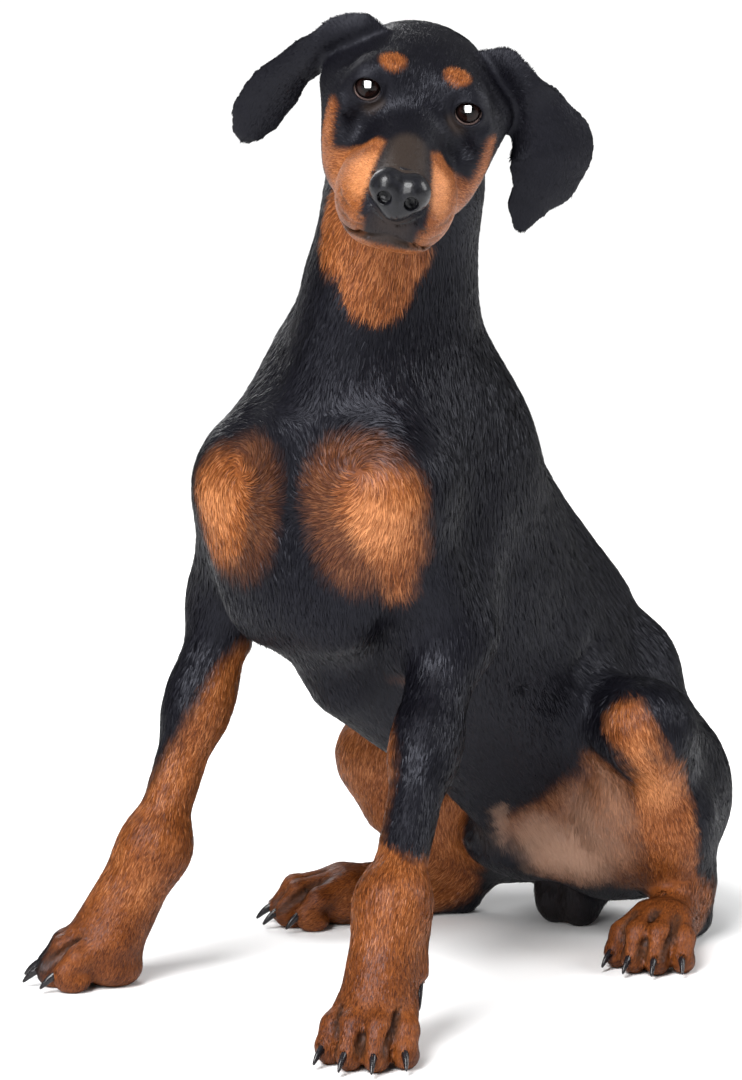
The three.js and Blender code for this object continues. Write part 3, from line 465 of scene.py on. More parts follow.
@dataclass(frozen=True)
class Head:
    """Skull, muzzle, jaw, lids and nose; 0 is midway between the eyes."""

    place: Frame3 = field(default_factory=lambda: head_place((127, -56, 657), 37.5, 13, 14))
    eye: tuple = (35.5, -1, -9)
    eye_r: float = 11.4
    lid: float = 3.0
    slit: tuple = (10.4, 8.4)
    nose: tuple = (0, -39, 98)
    nose_apart: float = 8.5
    nose_radii: tuple = (12.5, 13.5, 14)

    def skull(self) -> Form:
        """Brain case, cheekbones, brows and cheeks.

        Returns:
            The skull as one form.
        """
        forms = [mass((0, -9, -62), (57, 36, 58)), mass((0, -12, -96), (44, 40, 42)),
                 mass((0, 0, -34), (40, 18, 30)), mass((0, 2, -72), (44, 27, 42))]
        for s in (1, -1):
            forms += [rod((s * 43, -12, -12), (s * 55, -12, -58), 10, 13),
                      mass((s * 29, 8, -15), (14, 9, 12)), mass((s * 42, -38, -36), (18, 32, 36))]
        return melt(22, *forms)

    def muzzle(self) -> Form:
        """Bridge of the nose and the flews.

        Returns:
            The muzzle as one form.
        """
        forms = [rod((0, -26, -10), (0, -40, 86), 24, 16), rod((0, -42, 0), (0, -50, 84), 30, 20)]
        for s in (1, -1):
            forms += [mass((s * 22, -57, 42), (20, 27, 48)), mass((s * 15, -60, 76), (15, 14, 24))]
        return melt(14, *forms)

    def jaw(self) -> Form:
        """Lower jaw and chin.

        Returns:
            The jaw as one form.
        """
        forms = [mass((0, -75, 74), (19, 10, 20))]
        forms += [rod((s * 13, -76, 66), (s * 32, -70, -34), 10, 17) for s in (1, -1)]
        return melt(12, *forms, rod((0, -72, 40), (0, -72, -40), 14, 22))

    def form(self) -> Form:
        """The head without its nose leather.

        Returns:
            The head in the dog's frame.
        """
        tools = [mass((s * 38, -24, 24), (9, 11, 24)) for s in (1, -1)]
        tools += [mass((s * 66, 18, -30), (15, 13, 24)) for s in (1, -1)]
        tools += [mass((s * 37, self.eye[1], self.eye[2] + 12), (13, 10, 10)) for s in (1, -1)]
        whole = carve(9, melt(16, self.skull(), self.muzzle(), self.jaw()), *tools)
        lips = [melt(2, rod((0, -70, 101), (s * 17, -73, 93), 1.5),
                     rod((s * 17, -73, 93), (s * 38, -80, 52), 1.7),
                     rod((s * 38, -80, 52), (s * 42, -72, 6), 1.7, 1.4)) for s in (1, -1)]
        whole = carve(2.5, whole, *lips, rod((0, -57, 108), (0, -70, 103), 1.1))
        balls = [mass((s * self.eye[0], *self.eye[1:]), (self.eye_r + 0.1,) * 3) for s in (1, -1)]
        return posed(self.place, carve(0.6, melt(5, whole, self.lids(1), self.lids(-1)), *balls))

    def lids(self, s: int) -> Form:
        """Lids: a ball a little larger than the eye, opened by an almond slit.

        Args:
            s: 1 for the left eye, -1 for the right.

        Returns:
            The lids as one form.
        """
        x, y, z = self.eye
        ball = mass((s * x, y, z), (self.eye_r + self.lid,) * 3)
        return carve(1, ball, mass((s * x, y, z + self.eye_r), (*self.slit, 10)))

    def nose_form(self, flare: float = 0.0) -> Form:
        """Nose leather: a broad pad with two comma-shaped nostrils.

        Args:
            flare: how far the nostrils are opened, in millimetres.

        Returns:
            The nose leather in the dog's frame.
        """
        _, y, z = self.nose
        pad = melt(6, *[mass((s * self.nose_apart, y + 1, z), self.nose_radii) for s in (1, -1)],
                   mass((0, y - 8, z + 1), (12, 12, 13)))
        nostrils = [melt(3, rod((s * 9.5, y - 3, z + 22), (s * 9, y - 3, z + 6), 4.6 + flare, 4 + flare),
                         rod((s * 13, y - 6, z + 18), (s * 22, y - 7, z + 4), 2.6 + flare / 2, 2))
                    for s in (1, -1)]
        return posed(self.place, carve(1.2, pad, *nostrils))

    def folded(self, points: np.ndarray) -> np.ndarray:
        """Points in the head's frame, folded onto its left half."""
        head = self.place.into(points)
        head[:, 0] = np.abs(head[:, 0])
        return head

    def eye_gap(self, head: np.ndarray, out: float) -> np.ndarray:
        """Distance of points to the nearer eye, or to a place before it."""
        x, y, _ = self.eye
        return np.min([np.linalg.norm(head - (s * x, y, out), axis=1) for s in (1, -1)], axis=0)


@dataclass(frozen=True)
class Ear:
    """A hanging ear: a thin flap along stations in the head's frame.

    Attributes:
        stations: place, direction across, half width, thickness and cup of each section.
    """

    stations: tuple

    def rings(self, steps: int, count: int) -> np.ndarray:
        """Sections of the flap, each a closed ring, in the head's frame.

        Args:
            steps: how many sections.
            count: how many points along each face of a section.

        Returns:
            An array of steps x 2*count x 3.
        """
        at = np.array([s[0] for s in self.stations], float)
        rest = np.array([(*s[1], s[2], s[3], s[4]) for s in self.stations], float)
        t = np.linspace(0, len(at) - 1, steps)
        low = np.minimum(t.astype(int), len(at) - 2)
        mix = (t - low)[:, None]
        ends = np.vstack([2 * at[0] - at[1], at, 2 * at[-1] - at[-2]])
        p0, p1, p2, p3 = (ends[low + k] for k in range(4))
        spine = 0.5 * (2 * p1 + (p2 - p0) * mix + (2 * p0 - 5 * p1 + 4 * p2 - p3) * mix ** 2
                       + (3 * p1 - p0 - 3 * p2 + p3) * mix ** 3)
        soft = mix * mix * (3 - 2 * mix)
        values = rest[low] * (1 - soft) + rest[low + 1] * soft
        along = unit(np.gradient(spine, axis=0))
        across = values[:, :3] - (values[:, :3] * along).sum(1)[:, None] * along
        across = unit(across)
        out = unit(np.cross(across, along))
        half, thick, cup = values[:, 3], values[:, 4], values[:, 5]
        wide = half * (1 - 0.12 * np.abs(cup))
        rings = []
        for sign, order in ((1, 1), (-1, -1)):
            for s in np.linspace(-1, 1, count)[::order]:
                slope = 2 * cup * half * s / wide
                long = np.hypot(1, slope)
                h = sign * thick / 2 * math.sqrt(1.08 - s * s * 0.8)
                rings.append(spine + across * (s * wide - h * slope / long)[:, None]
                             + out * (cup * half * (s * s - 0.5) + h / long)[:, None])
        return np.stack(rings, axis=1)

    def mesh(self, place: Frame3) -> tuple[np.ndarray, list]:
        """The closed flap in the dog's frame: points and faces.

        Args:
            place: the head's frame.

        Returns:
            Points and faces.
        """
        rings = self.rings(56, 15)
        steps, around = rings.shape[:2]
        faces = []
        for k in range(steps - 1):
            for i in range(around):
                j = (i + 1) % around
                near, far = k * around, (k + 1) * around
                faces.append((near + i, near + j, far + j, far + i))
        half = around // 2
        for base in (0, (steps - 1) * around):
            for i in range(half - 1):
                faces.append((base + i, base + i + 1, base + around - 2 - i, base + around - 1 - i))
        return place.out(rings.reshape(-1, 3)), faces


EARS = {
    Side.LEFT: Ear((
        ((30, 14, -68), (-0.25, 0.86, 0.45), 13, 6, 0.6),
        ((45, 18, -66), (-0.18, 0.88, 0.45), 14.5, 5, 0.8),
        ((56, 17, -64), (-0.19, 0.84, 0.5), 20, 4.2, 0.7),
        ((69, 7, -60), (0.12, 0.86, 0.48), 21.5, 3.4, 0.5),
        ((86, -7, -60), (0.6, 0.7, -0.1), 24.5, 3, 0.32),
        ((102, -27, -61), (0.83, 0.45, -0.34), 33.5, 2.8, 0.24),
        ((102, -49, -60), (0.86, 0.38, -0.35), 28.5, 2.6, 0.2),
        ((96, -69, -58), (0.85, 0.37, -0.36), 17, 2.4, 0.18),
        ((95, -82, -57), (0.87, 0.34, -0.37), 9, 2.1, 0.12),
        ((96, -88, -57), (0.84, 0.39, -0.38), 4, 1.7, 0.1))),
    Side.RIGHT: Ear((
        ((-28, 18, -62), (0.24, 0.87, 0.42), 13, 6, -0.5),
        ((-47, 18, -64), (0.26, 0.86, 0.42), 17.5, 4.8, -0.7),
        ((-60, 11, -67), (0.24, 0.87, 0.42), 18.5, 4, -0.66),
        ((-74, -3, -70), (0.16, 0.88, 0.42), 17.5, 3.3, -0.5),
        ((-88, -19, -78), (-0.34, 0.88, 0.3), 15, 2.9, -0.4),
        ((-99, -41, -89), (-0.64, 0.72, 0.21), 19.5, 2.7, -0.3),
        ((-107, -63, -98), (-0.72, 0.66, 0.15), 18.5, 2.5, -0.25),
        ((-110, -78, -103), (-0.8, 0.55, 0.1), 12.5, 2.2, -0.2),
        ((-110, -86, -106), (-0.87, 0.43, 0.13), 4.5, 1.8, -0.1))),
}


@dataclass(frozen=True)
class Dog:
    """The whole dog: its parts and their places."""

    trunk: Trunk = Trunk()
    head: Head = field(default_factory=Head)
    fore_left: ForeLeg = ForeLeg(
        Side.LEFT, (36, 96, 420), (60, -12, 370), (80, 38, 268), (135, -92, 103))
    fore_right: ForeLeg = ForeLeg(
        Side.RIGHT, (-38, 98, 420), (-62, -12, 366), (-106, 8, 284), (-120, -62, 103))
    hind_left: HindLeg = HindLeg(
        Side.LEFT, (58, 318, 128), (122, 226, 178), (106, 300, 44), (114, 266, 106))
    hind_right: HindLeg = HindLeg(
        Side.RIGHT, (-54, 322, 125), (-120, 206, 132), (-84, 268, 40), (-112, 214, 96))
    tail: tuple = (((2, 366, 92), 26), ((0, 400, 48), 21), ((-30, 432, 22), 17), ((-92, 452, 15), 14),
                   ((-160, 436, 11), 10), ((-212, 404, 7), 6))
    armpit: tuple = ((-46, -22, 264), (-108, 54, 252))

    @property
    def paws(self) -> tuple[Paw, ...]:
        """The four paws.

        Returns:
            Left and right forepaw, left and right hind foot.
        """
        return (
            Paw("forepaw_left", Side.LEFT, (147, -128, 0), -26, self.fore_left.wrist),
            Paw("forepaw_right", Side.RIGHT, (-151, -99, 0), 48, self.fore_right.wrist),
            Paw("hindfoot_left", Side.LEFT, (139, 216, 0), -20, self.hind_left.hock, (101, 318, 14)),
            Paw("hindfoot_right", Side.RIGHT, (-146, 158, 0), 35, self.hind_right.hock, (-84, 262, 14)))

    def eye_at(self, side: Side) -> np.ndarray:
        """Middle of an eye in the dog's frame."""
        x, y, z = self.head.eye
        return self.head.place.out(np.array([side.value * x, y, z], float))

    def paw_gap(self, points: np.ndarray) -> np.ndarray:
        """Distance of points to the middle of the nearest paw."""
        return np.min([np.linalg.norm(points - paw.at, axis=1) for paw in self.paws], axis=0)

    def ear_gap(self, points: np.ndarray) -> np.ndarray:
        """Rough distance of points to the middle of the nearer ear flap."""
        return np.min([self.flap_gap(points, ear) for ear in EARS.values()], axis=0)

    def flap_gap(self, points: np.ndarray, ear: Ear) -> np.ndarray:
        """Rough distance of points to the middle of one ear flap.

        Args:
            points: places in the dog's frame.
            ear: the ear.

        Returns:
            Distances in millimetres, 1000 for places far from the ear.
        """
        rings = ear.rings(52, 9)
        middle = self.head.place.out(((rings[:, :9] + rings[:, :8:-1]) / 2).reshape(-1, 3))
        gap = np.full(len(points), 1e3)
        near = np.nonzero(np.linalg.norm(points - middle.mean(0), axis=1) < 130)[0]
        for i in range(0, len(near), 3000):
            part = near[i:i + 3000]
            gap[part] = np.linalg.norm(points[part, None] - middle[None], axis=2).min(1)
        return gap

    def form(self) -> Form:
        """The dog as one form, without ears, nose leather, eyes and claws.

        Returns:
            The form.
        """
        trunk = carve(10, melt(22, self.trunk.body(), self.fore_left.form(), self.fore_right.form(),
                               self.hind_left.form(), self.hind_right.form()), rod(*self.armpit, 10))
        sheath = rod((2, 160, 128), (3, 232, 66), 13, 17)
        scrotum = melt(8, mass((-6, 284, 22), (17, 21, 24)), mass((16, 286, 22), (17, 21, 24)))
        body = melt(14, melt(40, trunk, self.trunk.neck_form()), sheath, scrotum, strand(10, self.tail))
        return melt(18, body, self.head.form(), *[paw.form() for paw in self.paws])

    def shift(self) -> np.ndarray:
        """Where the dog's frame lies in the row frame, in metres, from the two eyes.

        Returns:
            The place of the dog's origin.
        """
        middles = []
        for name in ("eye_left", "eye_right"):
            low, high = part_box(name)
            middles.append((np.array(low) + np.array(high)) / 2)
        eyes = self.head.place.out(np.array([0.0, *self.head.eye[1:]]))
        return np.mean(middles, axis=0) - eyes / 1000


# Meshes


FLESH = ("head", "neck", "chest", "abdomen", "tail", "foreleg_left", "foreleg_right", "forepaw_left",
         "forepaw_right", "thigh_left", "thigh_right", "shank_left", "shank_right", "hindfoot_left",
         "hindfoot_right", "ear_left", "ear_right")
WELD = 0.00002
UNWRAP = "OFBake"
SKIN_FLOOR, COAT_FLOOR = 0.3, 0.1


def clear_selection() -> None:
    """Leaves nothing selected and no object in edit mode."""
    if bpy.context.object and bpy.context.object.mode != "OBJECT":
        bpy.ops.object.mode_set(mode="OBJECT")
    bpy.ops.object.select_all(action="DESELECT")


def choose(*objects: bpy.types.Object) -> bpy.types.Object:
    """Selects just these objects, the first one active, and gives it back.

    Args:
        objects: what is selected.

    Returns:
        The first of them.
    """
    clear_selection()
    for obj in objects:
        obj.select_set(True)
    bpy.context.view_layer.objects.active = objects[0]
    return objects[0]


def edit_points(obj: bpy.types.Object, mask: np.ndarray) -> None:
    """Opens the mesh in edit mode with just these points selected.

    Args:
        obj: the mesh object.
        mask: which points are selected.
    """
    choose(obj)
    bpy.ops.object.mode_set(mode="EDIT")
    bpy.ops.mesh.select_mode(type="VERT")
    bpy.ops.mesh.select_all(action="DESELECT")
    bpy.ops.object.mode_set(mode="OBJECT")
    obj.data.vertices.foreach_set("select", mask)
    bpy.ops.object.mode_set(mode="EDIT")
    bpy.ops.mesh.select_mode(type="VERT")


def mesh_object(name: str, points: np.ndarray, faces: list) -> bpy.types.Object:
    """A mesh object at the origin from points in metres and faces.

    Args:
        name: what the object is called.
        points: its points.
        faces: its faces, as rows of points.

    Returns:
        The object.
    """
    mesh = bpy.data.meshes.new(name)
    mesh.from_pydata([tuple(p) for p in points], [], [tuple(f) for f in faces])
    obj = bpy.data.objects.new(name, mesh)
    bpy.context.scene.collection.objects.link(obj)
    return obj


def read_points(obj: bpy.types.Object) -> np.ndarray:
    """The mesh's points, in metres.

    Args:
        obj: the mesh object.

    Returns:
        One row a point.
    """
    out = np.empty(len(obj.data.vertices) * 3, np.float32)
    obj.data.vertices.foreach_get("co", out)
    return out.reshape(-1, 3).astype(float)


def write_points(obj: bpy.types.Object, points: np.ndarray) -> None:
    """Puts the mesh's points at new places."""
    obj.data.vertices.foreach_set("co", points.astype(np.float32).ravel())
    obj.data.update()


def triangles_of(obj: bpy.types.Object) -> np.ndarray:
    """The mesh's triangles as rows of three points.

    Args:
        obj: the mesh object.

    Returns:
        One row a triangle.
    """
    obj.data.calc_loop_triangles()
    out = np.empty(len(obj.data.loop_triangles) * 3, np.int32)
    obj.data.loop_triangles.foreach_get("vertices", out)
    return out.reshape(-1, 3)


def edges_of(obj: bpy.types.Object) -> np.ndarray:
    """The mesh's edges as pairs of points.

    Args:
        obj: the mesh object.

    Returns:
        One row an edge.
    """
    out = np.empty(len(obj.data.edges) * 2, np.int32)
    obj.data.edges.foreach_get("vertices", out)
    return out.reshape(-1, 2)


def normals_at(points: np.ndarray, tris: np.ndarray) -> np.ndarray:
    """Outward direction at each point, from the triangles round it.

    Args:
        points: the mesh's points.
        tris: its triangles.

    Returns:
        A unit vector for each point.
    """
    a, b, c = points[tris[:, 0]], points[tris[:, 1]], points[tris[:, 2]]
    n = np.cross(b - a, c - a)
    out = np.zeros_like(points)
    for k in range(3):
        for axis in range(3):
            out[:, axis] += np.bincount(tris[:, k], n[:, axis], len(points))
    return unit(out)


def neighbour_mean(values: np.ndarray, edges: np.ndarray) -> np.ndarray:
    """Mean of the values at each point's neighbours.

    Args:
        values: one row a point.
        edges: the mesh's edges.

    Returns:
        The means, one row a point.
    """
    count = np.bincount(edges.ravel(), minlength=len(values)).astype(float)
    out = np.empty_like(values)
    for axis in range(values.shape[1]):
        total = np.bincount(edges[:, 0], values[edges[:, 1], axis], len(values))
        total += np.bincount(edges[:, 1], values[edges[:, 0], axis], len(values))
        out[:, axis] = total / np.maximum(count, 1)
    return out


def welded_copy(node: str, name: str) -> bpy.types.Object:
    """A copy of a node's solid whose faces share their points.

    Args:
        node: the solid's node.
        name: what the copy is called.

    Returns:
        The copy, selected and in object mode.
    """
    obj = bpy.data.objects.new(name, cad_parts[node].data.copy())
    bpy.context.scene.collection.objects.link(obj)
    choose(obj)
    bpy.ops.object.mode_set(mode="EDIT")
    bpy.ops.mesh.select_all(action="SELECT")
    bpy.ops.mesh.remove_doubles(threshold=WELD)
    bpy.ops.object.mode_set(mode="OBJECT")
    return obj


def set_attribute(obj: bpy.types.Object, name: str, values: np.ndarray) -> None:
    """Keeps a number for each point of the mesh under a name.

    Args:
        obj: the mesh object.
        name: the attribute's name.
        values: a number, or a row of three, for each point.
    """
    kind = "FLOAT" if values.ndim == 1 else "FLOAT_VECTOR"
    slot = "value" if values.ndim == 1 else "vector"
    layer = obj.data.attributes.new(name, kind, "POINT")
    layer.data.foreach_set(slot, values.astype(np.float32).ravel())


@dataclass(frozen=True)
class Patch:
    """A soft-edged patch of the coat along a line.

    Attributes:
        line: its middle line, one point or more, in millimetres.
        radius: how far it reaches from the line, at each point of the line.
        edge: width of its soft edge, in millimetres.
    """

    line: tuple
    radius: tuple
    edge: float

    def on(self, points: np.ndarray) -> np.ndarray:
        """How much of the patch each point has, from 0 to 1.

        Args:
            points: places in the patch's frame.

        Returns:
            The share of the patch at each.
        """
        line = [np.array(at, float) for at in self.line]
        if len(line) == 1:
            away = np.linalg.norm(points - line[0], axis=1) - self.radius[0]
            return 1 - step(-self.edge, self.edge, away)
        away = np.full(len(points), 1e6)
        for k, (a, b) in enumerate(zip(line, line[1:])):
            ab = b - a
            t = np.clip(((points - a) @ ab) / (ab @ ab), 0, 1)
            reach = self.radius[k] * (1 - t) + self.radius[k + 1] * t
            away = np.minimum(away, np.linalg.norm(points - a - t[:, None] * ab, axis=1) - reach)
        return 1 - step(-self.edge, self.edge, away)


def strongest(points: np.ndarray, patches: Sequence[tuple]) -> np.ndarray:
    """The most that any of some patches gives each point.

    Args:
        points: places in the frame of the patches.
        patches: weight, line, radii and edge of each.

    Returns:
        Shares from 0 up to the greatest weight.
    """
    shares = [weight * Patch(line, radii, edge).on(points) for weight, line, radii, edge in patches]
    return np.max(shares, axis=0)


# Rows of the whiskers' roots, in the head's frame
WHISKERS = (((40, -48, 66), (34, -50, 84), (23, -51, 100)), ((39, -55, 68), (31, -58, 88), (20, -60, 101)),
            ((38, -63, 66), (31, -67, 85), (19, -67, 98)))


@dataclass(frozen=True)
class Relief:
    """Folds, furrows and wrinkles pressed into the skin.

    Attributes:
        furrows: line in the dog's frame, radius, soft edge and depth of each.
    """

    dog: Dog
    furrows: tuple = (
        (((52, -31, 560), (48, -34, 542), (42, -36, 520)), 3.0, 5.0, 3.4),
        (((69, -9, 556), (68, -6, 536), (66, -5, 512)), 3.0, 5.0, 3.0),
        (((10, -68, 412), (8, -64, 362), (10, -50, 312)), 5.0, 11.0, 4.5),
        (((80, 190, 228), (76, 216, 246), (71, 242, 257)), 2.5, 8.0, 3.2),
        (((97, 192, 196), (110, 192, 167), (108, 218, 125), (112, 240, 88)), 2.0, 6.0, 3.0),
        (((-93, -24, 252), (-104, -58, 150)), 1.5, 6.0, 2.2),
        (((110, 4, 240), (136, -62, 150)), 1.5, 5.0, 2.2),
        (((94, -9, 240), (123, -74, 150)), 1.5, 6.0, 1.8),
        (((112, 246, 66), (124, 250, 68), (136, 266, 66), (134, 297, 53)), 0.6, 1.6, 1.5),
        (((110, 250, 57), (122, 254, 58), (135, 276, 55), (131, 301, 43)), 0.6, 1.6, 1.6),
        (((120, 246, 78), (136, 256, 79), (141, 280, 71)), 0.6, 1.6, 1.2))

    def depth(self, points: np.ndarray) -> np.ndarray:
        """How deep each point of the dog's frame lies in a furrow, in millimetres.

        Args:
            points: places in the dog's frame.

        Returns:
            The depth of the deepest furrow at each.
        """
        deep = [strongest(points, [(d, line, (r,) * len(line), edge) for line, r, edge, d in self.furrows]),
                strongest(self.dog.head.folded(points), [(1, line, (1.3,) * 3, 1) for line in WHISKERS])]
        for paw in self.dog.paws:
            clefts = [(1.5, line, (1.5, 1.8), 2.2) for line in paw.clefts()]
            deep.append(strongest(paw.place.into(points), clefts))
        return np.max(deep, axis=0)


@dataclass
class Skin:
    """The one skin of the dog, laid just inside the solids of its flesh.

    Attributes:
        voxel: cell of the remesh, in metres.
        faces: triangles of the skin before it is split at the eyes, the lips and the nose.
        depth: how far the skin lies under the dog's form on the body, in millimetres.
        swell: how far the copies of the flesh are swollen, in metres.
        nose_seat: balls that fill the skin behind the nose leather: middle and radius.
        fine: care from which the faces are split.
    """

    dog: Dog
    voxel: float = 0.0019
    faces: int = 168000
    depth: float = 0.8
    swell: float = 0.0004
    nose_seat: tuple = (((0, -40, 85.5), 16.2), ((0, -50, 83.5), 20.2))
    fine: float = 0.72

    def build(self) -> bpy.types.Object:
        """Joins, remeshes, thins and fits the skin.

        Returns:
            The skin, unwrapped.
        """
        shift = self.dog.shift()
        obj = self.joined(shift)
        obj.data.remesh_voxel_size = self.voxel
        obj.data.remesh_voxel_adaptivity = 0.0
        choose(obj)
        bpy.ops.object.voxel_remesh()
        LOG.info("remeshed: %d faces", len(obj.data.polygons))
        self.thin(obj, shift)
        self.refine(obj, shift)
        self.fit(obj, shift)
        choose(obj)
        bpy.ops.object.shade_smooth()
        bpy.ops.object.mode_set(mode="EDIT")
        bpy.ops.mesh.select_all(action="SELECT")
        bpy.ops.uv.smart_project(angle_limit=math.radians(66), island_margin=0.001)
        bpy.ops.object.mode_set(mode="OBJECT")
        obj.data.uv_layers[0].name = UNWRAP
        LOG.info("unwrapped")
        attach(obj, "root")
        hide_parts(*FLESH)
        return obj

    def joined(self, shift: np.ndarray) -> bpy.types.Object:
        """Copies of the flesh, a little swollen so that they meet, with smooth ears.

        Args:
            shift: place of the dog's origin, in metres.

        Returns:
            The copies as one object.
        """
        parts = []
        for name in [n for n in FLESH if not n.startswith("ear")]:
            copy = welded_copy(name, f"flesh_{name}")
            points = read_points(copy)
            write_points(copy, points + normals_at(points, triangles_of(copy)) * self.swell)
            parts.append(copy)
        for side, ear in EARS.items():
            points, faces = ear.mesh(self.dog.head.place)
            flap = mesh_object(f"flap_{side.name.lower()}", points / 1000 + shift, faces)
            choose(flap)
            bpy.ops.object.mode_set(mode="EDIT")
            bpy.ops.mesh.select_all(action="SELECT")
            bpy.ops.mesh.normals_make_consistent(inside=False)
            bpy.ops.object.mode_set(mode="OBJECT")
            parts.append(flap)
        for at, radius in self.nose_seat:
            clear_selection()
            middle = self.dog.head.place.out(np.array(at, float)) / 1000 + shift
            bpy.ops.mesh.primitive_uv_sphere_add(segments=48, ring_count=32, radius=radius / 1000,
                                                 location=middle)
            bpy.ops.object.transform_apply(location=True, rotation=False, scale=False)
            parts.append(bpy.context.object)
        choose(*parts)
        bpy.ops.object.join()
        skin = parts[0]
        skin.name = skin.data.name = "skin"
        skin.data.materials.clear()
        return skin

    def care(self, points: np.ndarray) -> np.ndarray:
        """How fine each point of the skin has to be, from 0 on the flanks to 1 at the eyes.

        Args:
            points: places in the dog's frame.

        Returns:
            The care for each.
        """
        head = self.dog.head.place.into(points)
        face = step(-60, -20, head[:, 2]) * step(-120, -100, head[:, 1])
        muzzle_end = np.linalg.norm(head - (0, -60, 90), axis=1) * 0.7
        close = 1 - step(16, 30, np.minimum(self.dog.head.eye_gap(head, 0), muzzle_end))
        ears = 1 - step(0, 14, self.dog.ear_gap(points))
        paws = 1 - step(55, 90, self.dog.paw_gap(points))
        return np.maximum.reduce([0.6 * face, close, 0.3 * ears, 0.45 * paws])

    def thin(self, obj: bpy.types.Object, shift: np.ndarray) -> None:
        """Takes faces away where the skin is plain.

        Args:
            obj: the mesh object.
            shift: place of the dog's origin, in metres.
        """
        points = (read_points(obj) - shift) * 1000
        group = obj.vertex_groups.new(name="plain")
        levels = np.round((1 - self.care(points)) * 20).astype(int)
        for level in np.unique(levels):
            group.add(np.nonzero(levels == level)[0].tolist(), float(level) / 20, "REPLACE")
        tris = len(triangles_of(obj))
        thinner = obj.modifiers.new("thin", "DECIMATE")
        thinner.ratio = min(1.0, self.faces / tris)
        thinner.vertex_group = group.name
        thinner.vertex_group_factor = 1.6
        thinner.use_collapse_triangulate = True
        choose(obj)
        bpy.ops.object.modifier_apply(modifier=thinner.name)
        obj.vertex_groups.clear()
        self.keep_largest(obj)
        LOG.info("thinned: %d faces", len(obj.data.polygons))

    def keep_largest(self, obj: bpy.types.Object) -> None:
        """Drops every shell but the one of the dog.

        Args:
            obj: the mesh object.
        """
        edges, count = edges_of(obj), len(obj.data.vertices)
        label = np.arange(count)
        while True:
            low = label.copy()
            np.minimum.at(low, edges[:, 0], label[edges[:, 1]])
            np.minimum.at(low, edges[:, 1], label[edges[:, 0]])
            low = low[low]
            if np.array_equal(low, label):
                break
            label = low
        loose = label != np.bincount(label).argmax()
        if loose.any():
            edit_points(obj, loose)
            bpy.ops.mesh.delete(type="VERT")
            bpy.ops.object.mode_set(mode="OBJECT")

    def refine(self, obj: bpy.types.Object, shift: np.ndarray) -> None:
        """Splits the faces at the eyes, the lips and the nose.

        Args:
            obj: the mesh object.
            shift: place of the dog's origin, in metres.
        """
        points = (read_points(obj) - shift) * 1000
        edit_points(obj, self.care(points) > self.fine)
        bpy.ops.mesh.select_mode(type="FACE")
        bpy.ops.mesh.subdivide(number_cuts=1)
        bpy.ops.mesh.select_all(action="SELECT")
        bpy.ops.mesh.quads_convert_to_tris()
        bpy.ops.object.mode_set(mode="OBJECT")
        LOG.info("refined: %d faces", len(obj.data.polygons))

    def fit(self, obj: bpy.types.Object, shift: np.ndarray) -> None:
        """Moves the skin onto the dog's form and evens its points.

        Args:
            obj: the mesh object.
            shift: place of the dog's origin, in metres.
        """
        form = self.dog.form()
        tris, edges = triangles_of(obj), edges_of(obj)
        points = (read_points(obj) - shift) * 1000
        gap = self.dog.ear_gap(points)
        flap = 1 - step(7, 11, gap)
        depth = self.depth * (1 - self.care(points))
        for turn in range(8):
            n = normals_at(points, tris)
            d = form.at(points) + depth
            free = flap * step(0.8, 3.5, d)
            points -= (np.clip(d, -3, 3) * (1 - free))[:, None] * n * 0.9
            if turn < 7:
                move = neighbour_mean(points, edges) - points
                along = move - (move * n).sum(1)[:, None] * n
                stray = ((np.abs(d) > 1.2) & (turn > 1) & (flap < 0.01))[:, None]
                points += np.where(stray, 0.8 * move, 0.35 * along)
        root = flap * (1 - step(5, 13, np.abs(d)))
        root = np.maximum(root, (1 - step(8, 14, gap)) * (1 - step(3, 9, np.abs(d))))
        for _ in range(3):
            root = np.maximum(root, 0.9 * neighbour_mean(root[:, None], edges)[:, 0])
        for _ in range(14):
            points += 0.6 * root[:, None] * (neighbour_mean(points, edges) - points)
        self.smooth_ears(points, edges, (flap > 0.5) & (root < 0.2) & (d > 2))
        self.smooth_seat(points, tris, edges, form)
        LOG.info("fitted: %d points stray", int(((np.abs(d) > 1.2) & (flap < 0.01)).sum()))
        points -= Relief(self.dog).depth(points)[:, None] * normals_at(points, tris)
        points[:, 2] = np.maximum(points[:, 2], SKIN_FLOOR)
        write_points(obj, points / 1000 + shift)

    def smooth_seat(self, points: np.ndarray, tris: np.ndarray, edges: np.ndarray, form: Form) -> None:
        """Smooths the skin round the nose leather, then draws it back to the dog's form.

        Args:
            points: the skin's points in the dog's frame, moved in place.
            tris: the skin's triangles.
            edges: the skin's edges.
            form: the dog's form.
        """
        seat = (1 - step(1.5, 5, np.abs(self.dog.head.nose_form().at(points))))[:, None]
        for turn in range(12):
            points += 0.6 * seat * (neighbour_mean(points, edges) - points)
            if turn > 5:
                pull = 0.5 * seat * np.clip(form.at(points), -2, 2)[:, None]
                points -= pull * normals_at(points, tris)

    def smooth_ears(self, points: np.ndarray, edges: np.ndarray, flaps: np.ndarray) -> None:
        """Lays the points of the ear flaps on the true surfaces of the flaps.

        Args:
            points: the skin's points in the dog's frame, moved in place.
            edges: the skin's edges.
            flaps: which points belong to the free flaps.
        """
        trees = [BVHTree.FromPolygons(*ear.mesh(self.dog.head.place)) for ear in EARS.values()]
        rows = np.nonzero(flaps)[0]
        side = [int(self.dog.head.place.into(points[i:i + 1])[0, 0] < 0) for i in rows]
        for _ in range(4):
            points[rows] += 0.5 * (neighbour_mean(points, edges) - points)[rows]
            for i, s in zip(rows, side):
                points[i] = trees[s].find_nearest(Vector(points[i]))[0]


# Materials


def scaled(colour: tuple, factor: float) -> tuple:
    """A lighter or darker colour."""
    return tuple(factor * c for c in colour)


